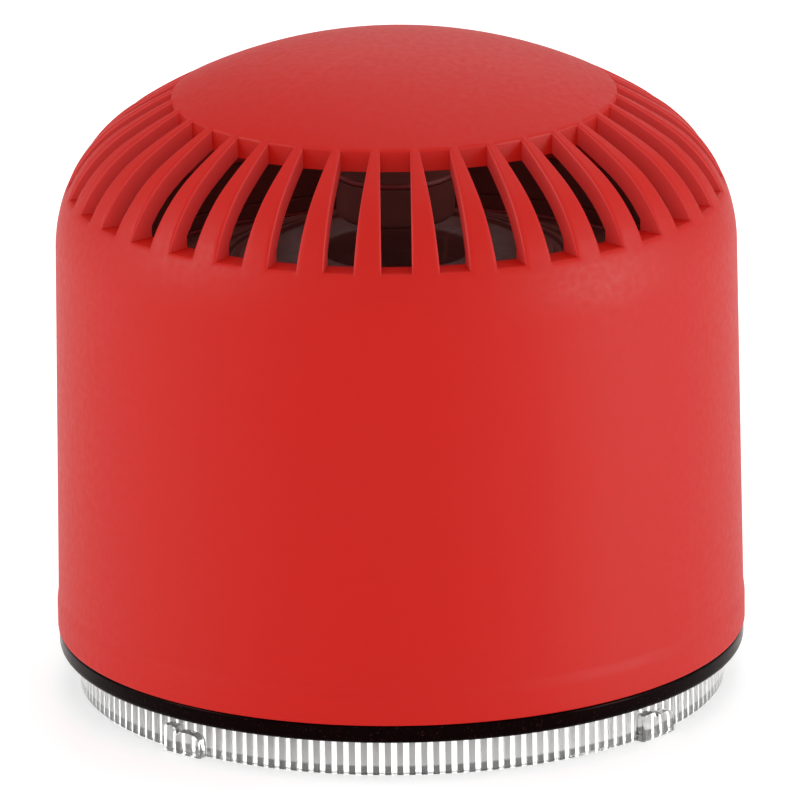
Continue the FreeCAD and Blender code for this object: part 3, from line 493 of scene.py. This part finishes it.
def make_materials():
    return {
        "red_plastic": red_plastic(),
        "black_rubber": black_rubber(),
        "red_silicone": plain_plastic("red_silicone", (0.30, 0.010, 0.006), 0.7),
        "clear_plastic": clear_plastic(),
        "white_plastic": plain_plastic("white_plastic", (0.93, 0.93, 0.92), 0.45, other=(0.91, 0.91, 0.90)),
        "black_plastic": plain_plastic("black_plastic", (0.012, 0.011, 0.011), 0.28, grain=1800.0),
        "horn_painted_red_bounce": horn_painted_red_bounce(),
        "dark_plastic": plain_plastic("dark_plastic", (0.018, 0.018, 0.019), 0.46, grain=2200.0,
                                      depth=0.00002),
        "circuit_board": board_coat(),
        "steel": bare_metal("steel", (0.56, 0.55, 0.54), 0.3),
        "brass": bare_metal("brass", (0.78, 0.57, 0.26), 0.25),
        "ferrite": plain_plastic("ferrite", (0.035, 0.036, 0.040), 0.55, grain=1500.0, depth=0.00003),
        "aluminium": bare_metal("aluminium", (0.76, 0.77, 0.78), 0.36, along=(1, 1, 0.06)),
        "copper_winding": winding(),
        "chip_plastic": plain_plastic("chip_plastic", (0.020, 0.020, 0.022), 0.5, grain=4000.0),
        "diaphragm_film": film(),
        "led_case": led_case(),
        "slider_white": plain_plastic("slider_white", (0.80, 0.79, 0.76), 0.4),
        "lead_cover": plain_plastic("lead_cover", (0.28, 0.012, 0.010), 0.38),
    }


# ---- red dome ------------------------------------------------------------------------------------
def shoulder_centre():
    slope = math.sqrt(1 + SIDE_DRAFT ** 2)
    crown_height = DOME_TOP - CROWN_RADIUS
    reach = CROWN_RADIUS - SHOULDER_RADIUS
    base = SIDE_RADIUS + SIDE_DRAFT * DOME_BOTTOM - SHOULDER_RADIUS * slope
    half = base * SIDE_DRAFT + crown_height
    rest = base ** 2 + crown_height ** 2 - reach ** 2
    height = (half + math.sqrt(half ** 2 - slope ** 2 * rest)) / slope ** 2
    return base - SIDE_DRAFT * height, height


def skin_height(radius, depth=0.0):
    """Height of the dome's skin at a radius; depth is how far under the outer skin."""
    centre = shoulder_centre()
    crown_height = DOME_TOP - CROWN_RADIUS
    join = centre[0] * CROWN_RADIUS / (CROWN_RADIUS - SHOULDER_RADIUS)
    join *= (CROWN_RADIUS - depth) / CROWN_RADIUS
    if radius <= join:
        return crown_height + math.sqrt((CROWN_RADIUS - depth) ** 2 - radius ** 2)
    return centre[1] + math.sqrt((SHOULDER_RADIUS - depth) ** 2 - (radius - centre[0]) ** 2)


def spaced(first, last, steps):
    return [first + (last - first) * index / steps for index in range(steps + 1)]


class DomeSector:
    """One slot's share of the dome, ten degrees wide: half a rib, the slot and half a rib."""

    SLOT_COLUMNS = 6
    RIB_COLUMNS = 4
    EDGE_STEPS = 5

    def __init__(self):
        self.vertices = []
        self.faces = []
        self.half_angle = math.pi / SLOT_COUNT

    def add(self, x, rho, z):
        """Vertex at x across the slot and rho out from the axis."""
        self.vertices.append((x, -rho, z))
        return len(self.vertices) - 1

    def polar(self, radius, angle, z):
        return self.add(radius * math.sin(angle), radius * math.cos(angle), z)

    def rib(self, radius, z, edge, side):
        """Vertices over half a rib at one radius, from the slot's edge to the sector's end."""
        angles = spaced(edge, self.half_angle, self.RIB_COLUMNS)
        return [self.polar(radius, side * angle, z) for angle in angles]

    def quads(self, first, second):
        for index in range(len(first) - 1):
            self.faces.append((first[index], first[index + 1], second[index + 1], second[index]))

    def full_row(self, radius, z, edge):
        """Vertices right across the sector at one radius."""
        left = self.rib(radius, z, edge, -1)[::-1]
        middle = [self.polar(radius, angle, z) for angle in spaced(-edge, edge, self.SLOT_COLUMNS)[1:-1]]
        return left + middle + self.rib(radius, z, edge, 1)

    def bridge(self, rows):
        for first, second in zip(rows, rows[1:]):
            self.quads(first, second)


def dome_sector():
    """The sector's skin with its slot: rounded outer edges, flat walls, end wall and ledge."""
    sector = DomeSector()
    edge = SLOT_EDGE
    centre = shoulder_centre()
    start = SLOT_INNER - edge
    floor_radius = centre[0] + math.sqrt(SHOULDER_RADIUS ** 2 - (SLOT_FLOOR - centre[1]) ** 2)
    end_radius = floor_radius + edge

    def wide_at(rho):
        """Half the slot's width with its rounded edge, which grows toward the outer end."""
        share = (rho - start) / (floor_radius - start)
        return SLOT_HALF + SLOT_EDGE + (SLOT_EDGE_OUT - SLOT_EDGE) * min(max(share, 0.0), 1.0)

    end_wide = wide_at(floor_radius)
    end_rho = math.sqrt(end_radius ** 2 - end_wide ** 2)
    slot_rows = 26
    rhos = [start] + spaced(SLOT_INNER + 0.4, floor_radius - 0.9, slot_rows) + [end_rho]

    def side_row(index, side):
        """Rib row plus the rounded edge down to the slot's wall, on one side."""
        rho = rhos[index]
        wide = wide_at(rho)
        drop = wide - SLOT_HALF
        radius = math.hypot(wide, rho)
        rib = sector.rib(radius, skin_height(radius), math.atan2(wide, rho), side)
        strip = [rib[0]]
        inner_rho = min(max(rho, SLOT_INNER), math.sqrt(floor_radius ** 2 - SLOT_HALF ** 2))
        last = index == len(rhos) - 1
        crest_z = SLOT_FLOOR if last else skin_height(math.hypot(SLOT_HALF, inner_rho))
        foot_rho = inner_rho - edge if last else inner_rho
        foot_z = SLOT_FLOOR if last else crest_z - drop
        first_point = Vector((side * wide, rho, skin_height(radius)))
        crest = Vector((side * SLOT_HALF, inner_rho, crest_z))
        foot = Vector((side * SLOT_HALF, foot_rho, foot_z))
        for step in range(1, sector.EDGE_STEPS + 1):
            t = step / sector.EDGE_STEPS
            point = first_point * (1 - t) ** 2 + crest * 2 * t * (1 - t) + foot * t ** 2
            strip.append(sector.add(*point))
        return rib, strip

    rights = [side_row(index, 1) for index in range(len(rhos))]
    lefts = [side_row(index, -1) for index in range(len(rhos))]
    for rows in (rights, lefts):
        sector.bridge([rib for rib, _ in rows])
        sector.bridge([strip for _, strip in rows])

    def end_strips(outer_end):
        """Rounded edge over the slot's inner end wall, or over the outer ledge."""
        row = len(rhos) - 1 if outer_end else 0
        strips = [lefts[row][1]]
        for index in range(1, sector.SLOT_COLUMNS):
            share = 2 * index / sector.SLOT_COLUMNS - 1
            if outer_end:
                angle = share * math.atan2(end_wide, end_rho)
                first_point = Vector((end_radius * math.sin(angle), end_radius * math.cos(angle), 0))
                angle = share * math.asin(SLOT_HALF / floor_radius)
                crest = Vector((floor_radius * math.sin(angle), floor_radius * math.cos(angle), SLOT_FLOOR))
                foot = crest - Vector((0, edge, 0))
            else:
                first_point = Vector((share * wide_at(start), start, 0))
                crest = Vector((share * SLOT_HALF, SLOT_INNER, 0))
                crest.z = skin_height(math.hypot(crest.x, crest.y))
                foot = crest - Vector((0, 0, edge))
            first_point.z = skin_height(math.hypot(first_point.x, first_point.y))
            strip = [sector.add(*first_point)]
            for step in range(1, sector.EDGE_STEPS + 1):
                t = step / sector.EDGE_STEPS
                point = first_point * (1 - t) ** 2 + crest * 2 * t * (1 - t) + foot * t ** 2
                strip.append(sector.add(*point))
            strips.append(strip)
        strips.append(rights[row][1])
        sector.bridge(strips)
        return strips

    inner_end = end_strips(False)
    ledge_end = end_strips(True)

    # crown above the slot, from the axis out
    crown_edge = math.atan2(wide_at(start), start)
    crown = []
    for radius in spaced(0.0, start - 0.6, 30):
        crown.append(sector.full_row(max(radius, 1e-6), skin_height(radius), crown_edge))
    meet = lefts[0][0][::-1] + [strip[0] for strip in inner_end[1:-1]] + rights[0][0]
    sector.bridge(crown + [meet])

    # inner skin
    neck_rho = math.sqrt(NECK_RADIUS ** 2 - SLOT_HALF ** 2)
    inner_rhos = spaced(SLOT_INNER, neck_rho, 8)

    def inner_rib(rho, side):
        radius = math.hypot(SLOT_HALF, rho)
        return sector.rib(radius, skin_height(radius, DOME_WALL), math.atan2(SLOT_HALF, rho), side)

    inner_rights = [inner_rib(rho, 1) for rho in inner_rhos]
    inner_lefts = [inner_rib(rho, -1) for rho in inner_rhos]
    sector.bridge(inner_rights)
    sector.bridge(inner_lefts)
    end_foot = []
    for index in range(1, sector.SLOT_COLUMNS):
        x = SLOT_HALF * (2 * index / sector.SLOT_COLUMNS - 1)
        end_foot.append(sector.add(x, SLOT_INNER, skin_height(math.hypot(x, SLOT_INNER), DOME_WALL)))
    inner_edge = math.atan2(SLOT_HALF, SLOT_INNER)
    inner_crown = []
    for radius in spaced(0.0, SLOT_INNER - 0.6, 14):
        inner_crown.append(sector.full_row(max(radius, 1e-6), skin_height(radius, DOME_WALL), inner_edge))
    meet = inner_lefts[0][::-1] + end_foot + inner_rights[0]
    sector.bridge(inner_crown + [meet])

    # the lower body, from the ledge round the lip and up the inside to the neck
    body_edge = math.atan2(end_wide, end_rho)
    outer_angle = math.degrees(math.asin((skin_height(end_radius) - centre[1]) / SHOULDER_RADIUS))
    side_angle = math.degrees(math.atan(SIDE_DRAFT))
    outline = arc(centre, SHOULDER_RADIUS, outer_angle, side_angle, 14)[1:]
    side_end = outline[-1]
    step_radius = SIDE_RADIUS - SIDE_DRAFT * (LIP_TOP - DOME_BOTTOM)
    side_steps, blend_steps = 12, 10
    for index in range(1, side_steps):
        share = index / side_steps
        outline.append((side_end[0] + (step_radius - side_end[0]) * share,
                        side_end[1] + (LIP_TOP + LIP_BLEND - side_end[1]) * share))
    for index in range(blend_steps):
        share = index / blend_steps
        swell = share * share * (3 - 2 * share)
        radius = step_radius + (LIP_RADIUS - step_radius) * swell
        outline.append((radius, LIP_TOP + LIP_BLEND * (1 - share)))
    outline += rounded([
        (LIP_RADIUS, LIP_TOP, 0),
        (LIP_RADIUS, DOME_BOTTOM, 0.45), (CAVITY_RADIUS, DOME_BOTTOM, 0.3), (CAVITY_RADIUS, CAVITY_STEP, 0),
        (NECK_RADIUS, CAVITY_STEP, 0)], closed=False)
    lower = [lefts[-1][0][::-1] + [strip[0] for strip in ledge_end[1:-1]] + rights[-1][0]]
    for radius, height in outline:
        lower.append(sector.full_row(radius, height, body_edge))
    neck_edge = math.asin(SLOT_HALF / NECK_RADIUS)
    neck = sector.full_row(NECK_RADIUS, SLOT_FLOOR, neck_edge)
    lower.append(neck)
    sector.bridge(lower)
    ribs = sector.RIB_COLUMNS
    neck_left, neck_right = neck[:ribs + 1][::-1], neck[-ribs - 1:]
    sector.bridge([inner_rights[-1], neck_right])
    sector.bridge([inner_lefts[-1], neck_left])

    # flat walls of the slot
    for rows, inner_rows, corner in ((rights, inner_rights, neck_right), (lefts, inner_lefts, neck_left)):
        wall = [strip[-1] for _, strip in rows] + [corner[0]]
        wall += [inner[0] for inner in inner_rows[::-1]]
        sector.faces.append(tuple(wall))
    end_wall = [strip[-1] for strip in inner_end]
    end_wall += [inner_rights[0][0]] + end_foot[::-1] + [inner_lefts[0][0]]
    sector.faces.append(tuple(end_wall))
    ledge = [strip[-1] for strip in ledge_end] + neck[ribs:len(neck) - ribs][::-1]
    sector.faces.append(tuple(ledge))
    return sector.vertices, sector.faces


def dome_bosses():
    """Four screw bosses and their webs on the inside wall, and the boss under the crown."""
    circle = 39.8
    bottom, top = 18.5, 34.6
    hole, radius = 1.6, 3.5
    web_half = 1.1
    boss = turned_shell(rounded([
        (hole, bottom, 0.2), (radius, bottom, 0.3), (radius, top, 0.6), (hole, top, 0.0)]), 48)
    web = box_shell((-web_half, -CAVITY_RADIUS - 0.4, bottom), (web_half, -circle - 2.6, top))
    stand = join_shells([shift_shell(boss, -circle), web])
    shells = [turn_shell(stand, 45.0 + 90.0 * index) for index in range(4)]
    crown_hole, crown_radius = 1.5, 4.5
    buried = 100.2
    shells.append(turned_shell(rounded([
        (crown_hole, CROWN_BOSS_BOTTOM, 0.2), (crown_radius, CROWN_BOSS_BOTTOM, 0.3),
        (crown_radius, buried, 0), (crown_hole, buried, 0)]), 64))
    return join_shells(shells)


def make_housing(materials):
    sector = dome_sector()
    shells = [turn_shell(sector, index * 360.0 / SLOT_COUNT) for index in range(SLOT_COUNT)]
    vertices, faces = join_shells(shells + [dome_bosses()])
    piece = new_piece("red_dome", vertices, faces, materials["red_plastic"], sharp=32.0)
    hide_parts("siren_housing")


# ---- seal and light ring -------------------------------------------------------------------------
def make_collar(materials):
    inner = SPIGOT_RADIUS + 0.05
    outline = rounded([
        (inner, COLLAR_BOTTOM, 0.1), (COLLAR_RADIUS, COLLAR_BOTTOM, 0.9),
        (COLLAR_RADIUS, COLLAR_TOP, 0.6), (inner, COLLAR_TOP, 0.1)], steps=8)
    piece = turned_piece("collar_seal", outline, materials["black_rubber"], segments=480)
    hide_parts("seal_collar")


PRISM_COUNT = 168
PRISM_TIP = 46.6
PRISM_ROOT = 48.8
PRISM_TOP = 9.0
GROOVE_HALF = 0.475
FLANGE_BOTTOM = 11.6
FLANGE_INNER = 43.6
LUG_RADIUS = 52.4
LUG_ANGLE = 49.2
LUG_HALF = 3.7
LUG_TALL = 4.4
LUG_LOW = 3.8


def ring_sector():
    """One prism and one groove of the clear ring."""
    pitch = TAU / PRISM_COUNT
    groove = 2 * math.asin(GROOVE_HALF / PRISM_ROOT)
    angles = spaced(0.0, pitch - groove, 2) + spaced(pitch - groove, pitch, 2)[1:]
    tip_last = 2
    outer = rounded([
        (PRISM_ROOT, 0.0, 0), (RING_RADIUS, 0.0, 0.35), (RING_RADIUS, COLLAR_BOTTOM, 0.08),
        (SPIGOT_RADIUS, COLLAR_BOTTOM, 0), (SPIGOT_RADIUS, RING_TOP, 0.25), (FLANGE_INNER, RING_TOP, 0.25),
        (FLANGE_INNER, FLANGE_BOTTOM, 0.25), (PRISM_TIP, FLANGE_BOTTOM, 0), (PRISM_TIP, PRISM_TOP, 0)],
        closed=False)
    vertices = []
    faces = []

    def add(radius, angle, z):
        vertices.append((radius * math.sin(angle), -radius * math.cos(angle), z))
        return len(vertices) - 1

    columns = [[add(radius, angle, z) for radius, z in outer] for angle in angles]
    for first, second in zip(columns, columns[1:]):
        for step in range(len(outer) - 1):
            faces.append((first[step], second[step], second[step + 1], first[step + 1]))
    tips = [add(PRISM_TIP, angle, 0.0) for angle in angles[:tip_last + 1]]
    for index in range(tip_last):
        first, second = columns[index], columns[index + 1]
        faces.append((tips[index], tips[index + 1], second[0], first[0]))
        faces.append((tips[index + 1], tips[index], first[-1], second[-1]))
    roofs = [add(PRISM_ROOT, angle, PRISM_TOP) for angle in angles[tip_last:]]
    for index in range(len(roofs) - 1):
        first, second = columns[tip_last + index], columns[tip_last + index + 1]
        faces.append((first[-1], second[-1], roofs[index + 1], roofs[index]))
        faces.append((roofs[index], roofs[index + 1], second[0], first[0]))
    end_tip = add(PRISM_TIP, pitch, 0.0)
    faces.append((tips[-1], columns[tip_last][0], roofs[0], columns[tip_last][-1]))
    faces.append((end_tip, columns[-1][-1], roofs[-1], columns[-1][0]))
    return vertices, faces


def lug_shell():
    """Bayonet lug: a tall stop, a small notch and a lower run with a rounded end."""
    outline = rounded([
        (-LUG_HALF, 0.0, 0.2), (LUG_HALF, 0.0, 0.2), (LUG_HALF, LUG_LOW, 1.9), (-0.3, LUG_LOW, 0.2),
        (-0.7, LUG_LOW - 0.5, 0.12), (-1.1, LUG_TALL, 0.45), (-LUG_HALF, LUG_TALL, 0.7)], steps=6)
    back = RING_RADIUS - 0.7
    soft = 0.35
    rings = []
    middle, half_height = 2.0, 2.1
    levels = ((0.0, back), (0.0, LUG_RADIUS - soft), (0.1, LUG_RADIUS - 0.1), (soft, LUG_RADIUS))
    for inset, radius in levels:
        ring = []
        for x, z in outline:
            x *= 1 - inset / LUG_HALF
            height = z if inset == 0.0 else middle + (z - middle) * (1 - inset / half_height)
            ring.append((x, -math.sqrt(radius ** 2 - x ** 2), max(height, 0.0)))
        rings.append(ring)
    count = len(outline)
    vertices = [vertex for ring in rings for vertex in ring]
    faces = []
    for level in range(len(rings) - 1):
        for index in range(count):
            after = (index + 1) % count
            base = level * count
            faces.append((base + index, base + after, base + count + after, base + count + index))
    faces.append(tuple(range(count))[::-1])
    faces.append(tuple((len(rings) - 1) * count + index for index in range(count)))
    return vertices, faces


def lone_mesh(name, shell):
    """Plain welded object, used as an operand."""
    mesh = bpy.data.meshes.new(name)
    mesh.from_pydata([Vector(v) * MM for v in shell[0]], [], shell[1])
    work = bmesh.new()
    work.from_mesh(mesh)
    bmesh.ops.remove_doubles(work, verts=work.verts, dist=WELD)
    bmesh.ops.recalc_face_normals(work, faces=work.faces)
    work.to_mesh(mesh)
    work.free()
    made = bpy.data.objects.new(name, mesh)
    bpy.context.scene.collection.objects.link(made)
    return made


def fuse(target, others):
    """Boolean union applied to the target's own mesh."""
    for other in others:
        union = target.modifiers.new("union", "BOOLEAN")
        union.operation = "UNION"
        union.solver = "EXACT"
        union.object = other
    bpy.context.view_layer.update()
    graph = bpy.context.evaluated_depsgraph_get()
    mesh = bpy.data.meshes.new_from_object(target.evaluated_get(graph))
    target.modifiers.clear()
    target.data = mesh
    for other in others:
        bpy.data.objects.remove(other)
    return target


def make_lens(materials):
    sector = ring_sector()
    shells = [turn_shell(sector, index * 360.0 / PRISM_COUNT) for index in range(PRISM_COUNT)]
    ring = lone_mesh("light_ring", join_shells(shells))
    lugs = [turn_shell(lug_shell(), LUG_ANGLE + 90.0 * index) for index in range(4)]
    pad = box_shell((-1.2, -49.3, RING_TOP - 0.5), (1.2, -44.2, RING_TOP + 2.0))
    pads = [turn_shell(pad, 45.0 * index) for index in range(8)]
    others = [lone_mesh("lug_%d" % index, shell) for index, shell in enumerate(lugs)]
    others += [lone_mesh("pad_%d" % index, shell) for index, shell in enumerate(pads)]
    fuse(ring, others)
    dress(ring, materials["clear_plastic"], sharp=28.0, weighted=False)
    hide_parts("lens_ring")


# ---- horn, sleeve and deflector ------------------------------------------------------------------
HORN_SEGMENTS = 300
HORN_CREST = 69.3
RIDGE_START = 20.0
RIDGE_PITCH = 3.0
RIDGE_COUNT = 4
RIDGE_HEIGHT = 0.7
HORN_FALL = 0.25
HORN_WALL = 2.2
THROAT_RADIUS = 9.3
THROAT_OUTER = 13.0
THROAT_STEPS = 4
THROAT_RISE = 2.2
THROAT_GROWTH = 0.4
DRIVER_SEAT = 53.1
HORN_FLANGE_TOP = DRIVER_SEAT + 2.5
HORN_FLANGE_RADIUS = 34.0


def horn_outline():
    """Section of the bowl: stepped throat, ridged face, rim, and back down to the driver's seat."""
    def face(radius):
        return HORN_CREST - HORN_FALL * (radius - RIDGE_START)

    radius, height = THROAT_RADIUS, DRIVER_SEAT + 4.0
    corners = [(radius, height, 0)]
    for _ in range(THROAT_STEPS):
        height += THROAT_RISE
        corners.append((radius, height, 0.15))
        radius += THROAT_GROWTH
        corners.append((radius, height + 0.2, 0.15))
    corners.append((radius, HORN_CREST, 1.6))
    corners.append((RIDGE_START, HORN_CREST, 0.5))
    for index in range(RIDGE_COUNT):
        start = RIDGE_START + index * RIDGE_PITCH
        for step, lift in ((0.5, RIDGE_HEIGHT), (1.5, RIDGE_HEIGHT), (2.0, 0.0), (RIDGE_PITCH, 0.0)):
            corners.append((start + step, face(start + step) + lift, 0.3))
    corners += [
        (SLEEVE_INNER - 1.2, HORN_RIM_TOP, 1.2), (SPIGOT_RADIUS, HORN_RIM_TOP, 0.2),
        (SPIGOT_RADIUS, CAGE_TOP, 0.2), (SLEEVE_INNER, CAGE_TOP, 0.2),
        (SLEEVE_INNER - 1.2, HORN_RIM_TOP - HORN_WALL, 1.0), (RIDGE_START, HORN_CREST - HORN_WALL, 1.0),
        (THROAT_OUTER, HORN_CREST - HORN_WALL, 0.8), (THROAT_OUTER, HORN_FLANGE_TOP, 0.6),
        (HORN_FLANGE_RADIUS, HORN_FLANGE_TOP, 0.3), (HORN_FLANGE_RADIUS, DRIVER_SEAT, 0.3),
        (16.5, DRIVER_SEAT, 0.1), (16.5, DRIVER_SEAT + 1.0, 0.1), (11.3, DRIVER_SEAT + 1.0, 0.1),
        (11.3, DRIVER_SEAT + 4.0, 0)]
    return rounded(corners, steps=4)


def make_horn(materials):
    shells = [turned_shell(horn_outline(), HORN_SEGMENTS)]
    rib = box_shell((-0.8, -33.0, DRIVER_SEAT + 2.3), (0.8, -12.8, HORN_CREST - 5.2))
    shells += [turn_shell(rib, 22.5 + 45.0 * index) for index in range(8)]
    vertices, faces = join_shells(shells)
    horn = new_piece("horn", vertices, faces, materials["horn_painted_red_bounce"])
    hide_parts("horn_bowl")

    seal = rounded([
        (SLEEVE_INNER - 0.3, HORN_RIM_TOP, 0.2), (SPIGOT_RADIUS, HORN_RIM_TOP, 0.1),
        (SPIGOT_RADIUS, SEAL_TOP, 0.1), (SLEEVE_INNER - 0.3, SEAL_TOP, 0.2)])
    piece = turned_piece("rim_seal", seal, materials["red_silicone"], segments=HORN_SEGMENTS)
    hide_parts("horn_seal")

    sleeve = rounded([
        (SLEEVE_INNER, SEAL_TOP, 0.2), (SPIGOT_RADIUS, SEAL_TOP, 0.2), (SPIGOT_RADIUS, CAVITY_STEP, 0.2),
        (SLEEVE_INNER, CAVITY_STEP, 0.3), (SLEEVE_INNER, SEAL_TOP + 2.6, 0.1),
        (SLEEVE_INNER + 0.4, SEAL_TOP + 2.4, 0.1), (SLEEVE_INNER, SEAL_TOP + 2.2, 0.1)])
    piece = turned_piece("horn_sleeve", sleeve, materials["horn_painted_red_bounce"], segments=HORN_SEGMENTS)
    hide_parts("sound_sleeve")


def make_deflector(materials):
    ring_height = 81.6
    groove = 0.5
    groove_floor = DEFLECTOR_RADIUS - 2 * groove
    hollow, hollow_bottom = 3.4, DEFLECTOR_BOTTOM + 5
    screw_hole, socket = 1.6, 4.6
    outline = rounded([
        (hollow, DEFLECTOR_BOTTOM, 0.3), (DEFLECTOR_RADIUS, DEFLECTOR_BOTTOM, 1.4),
        (DEFLECTOR_RADIUS, ring_height - groove, 0.1), (groove_floor, ring_height - groove, 0),
        (groove_floor, ring_height + groove, 0), (DEFLECTOR_RADIUS, ring_height + groove, 0.1),
        (DEFLECTOR_RADIUS, DEFLECTOR_TOP, 0.2), (socket, DEFLECTOR_TOP, 0.1),
        (socket, CROWN_BOSS_BOTTOM, 0), (screw_hole, CROWN_BOSS_BOTTOM, 0),
        (screw_hole, hollow_bottom, 0), (hollow, hollow_bottom, 0)],
        steps=6)
    piece = turned_piece("deflector", outline, materials["horn_painted_red_bounce"], segments=160)
    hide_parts("sound_deflector")
    section = arc((DEFLECTOR_RADIUS - groove, ring_height), groove, 0, 360, 20)[:-1]
    piece = turned_piece("deflector_o_ring", section, materials["red_silicone"], segments=160)
    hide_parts("deflector_ring")


# ---- the rest of the frame -----------------------------------------------------------------------
def softened(node, width, material):
    """Copy of a CAD node with its edges rounded, which stands for that node."""
    source = frame["nodes"][node]
    mesh = source.data.copy()
    work = bmesh.new()
    work.from_mesh(mesh)
    bmesh.ops.remove_doubles(work, verts=work.verts, dist=1e-6)
    bmesh.ops.dissolve_limit(work, angle_limit=math.radians(1.0), verts=work.verts, edges=work.edges)
    work.to_mesh(mesh)
    work.free()
    piece = bpy.data.objects.new(node + "_fine", mesh)
    bevel = piece.modifiers.new("edges", "BEVEL")
    bevel.width = width * MM
    bevel.segments = 2
    bevel.limit_method = "ANGLE"
    bevel.angle_limit = math.radians(40)
    bevel.use_clamp_overlap = True
    bevel.harden_normals = False
    dress(piece, material, sharp=14.0)
    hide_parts(node)


# nodes that get a softened copy, with the width of its edges in millimetres
SOFT_EDGES = {
    "base_plate": 0.2, "contact_block": 0.25, "tone_switch_body": 0.12, "main_board": 0.1,
    "heat_sink": 0.12, "amplifier_chip": 0.15, "controller_chip": 0.08, "transformer_core": 0.25,
    "driver_frame": 0.2, "driver_top_plate": 0.2, "driver_yoke": 0.2, "inner_cage": 0.2,
    "led_reflector": 0.15, "board_connector": 0.15, "board_header": 0.15, "base_screws": 0.12,
}


def dress_cad(materials):
    """Every CAD node takes its slot's material; the ones with plain edges get a softened copy."""
    slots = {part["node"]: part["material_slot"] for part in frame["record"]["subparts"]}
    for node, piece in frame["nodes"].items():
        slot = slots[node]
        piece.data.materials.clear()
        piece.data.materials.append(materials[slot])
        if node in SOFT_EDGES:
            softened(node, SOFT_EDGES[node], materials[slot])


# ---- camera, floor and light ---------------------------------------------------------------------
def add_camera():
    """Long lens from the front, looking down on the dome, with a slight lean."""
    side_step = 0.00024
    distance = 1.433
    height = 0.4778
    pitch = 0.2936
    roll = -0.0138
    forward = Vector((0, math.cos(pitch), -math.sin(pitch)))
    right = Vector((1, 0, 0))
    up = right.cross(forward)
    side = right * math.cos(roll) + up * math.sin(roll)
    top = up * math.cos(roll) - right * math.sin(roll)
    data = bpy.data.cameras.new("camera")
    data.lens = 431.0
    data.sensor_width = 36.0
    data.clip_start = 0.05
    camera = bpy.data.objects.new("camera", data)
    bpy.context.scene.collection.objects.link(camera)
    turn = Matrix((side, top, -forward)).transposed()
    camera.matrix_world = Matrix.Translation((side_step, -distance, height)) @ turn.to_4x4()
    bpy.context.scene.camera = camera


def add_light(name, place, target, width, height, power, sheen=False):
    """Area light; one that gives sheen is seen only in reflections."""
    data = bpy.data.lights.new(name, "AREA")
    data.shape = "RECTANGLE"
    data.size = width
    data.size_y = height
    data.energy = power
    light = bpy.data.objects.new(name, data)
    bpy.context.scene.collection.objects.link(light)
    light.location = place
    light.rotation_euler = (Vector(target) - Vector(place)).to_track_quat("-Z", "Y").to_euler()
    light.visible_diffuse = not sheen


def add_world():
    """White studio that is dimmer behind the object."""
    world = bpy.data.worlds.new("studio")
    world.use_nodes = True
    nodes, links = world.node_tree.nodes, world.node_tree.links
    way = nodes.new("ShaderNodeSeparateXYZ")
    links.new(nodes.new("ShaderNodeTexCoord").outputs["Generated"], way.inputs[0])
    fade = nodes.new("ShaderNodeMapRange")
    fade.interpolation_type = "SMOOTHSTEP"
    for key, value in (("From Min", -0.1), ("From Max", 0.8), ("To Min", 1.05), ("To Max", 0.45)):
        fade.inputs[key].default_value = value
    links.new(way.outputs["Y"], fade.inputs["Value"])
    back = nodes["Background"]
    back.inputs["Color"].default_value = (1, 1, 1, 1)
    links.new(fade.outputs["Result"], back.inputs["Strength"])
    bpy.context.scene.world = world


def add_stage():
    size = 6.0
    level = -0.00005
    mesh = bpy.data.meshes.new("floor")
    corners = [(-size, -size, level), (size, -size, level), (size, size, level), (-size, size, level)]
    mesh.from_pydata(corners, [], [(0, 1, 2, 3)])
    floor = bpy.data.objects.new("floor", mesh)
    bpy.context.scene.collection.objects.link(floor)
    mesh.materials.append(ground())
    add_world()
    centre = (0, 0, 0.055)
    add_light("left", (-0.92, 0.05, 0.30), centre, 0.35, 0.45, 1.0)
    add_light("right", (0.92, -0.08, 0.16), centre, 0.45, 0.40, 1.1)
    add_light("back", (0.20, 0.60, 0.95), centre, 0.8, 0.6, 2.2)
    add_light("left_sheen", (-0.82, -0.25, 0.42), centre, 0.30, 0.25, 4.5, sheen=True)
    add_light("right_sheen", (0.85, -0.31, 0.20), centre, 0.30, 0.35, 7.0, sheen=True)
    add_light("crown_sheen", (0.10, 0.90, 0.45), centre, 0.6, 0.3, 0.7, sheen=True)
    bpy.context.scene.view_settings.view_transform = "Standard"


def main():
    add_camera()
    materials = make_materials()
    add_stage()
    dress_cad(materials)
    make_housing(materials)
    make_collar(materials)
    make_lens(materials)
    make_horn(materials)
    make_deflector(materials)


main()
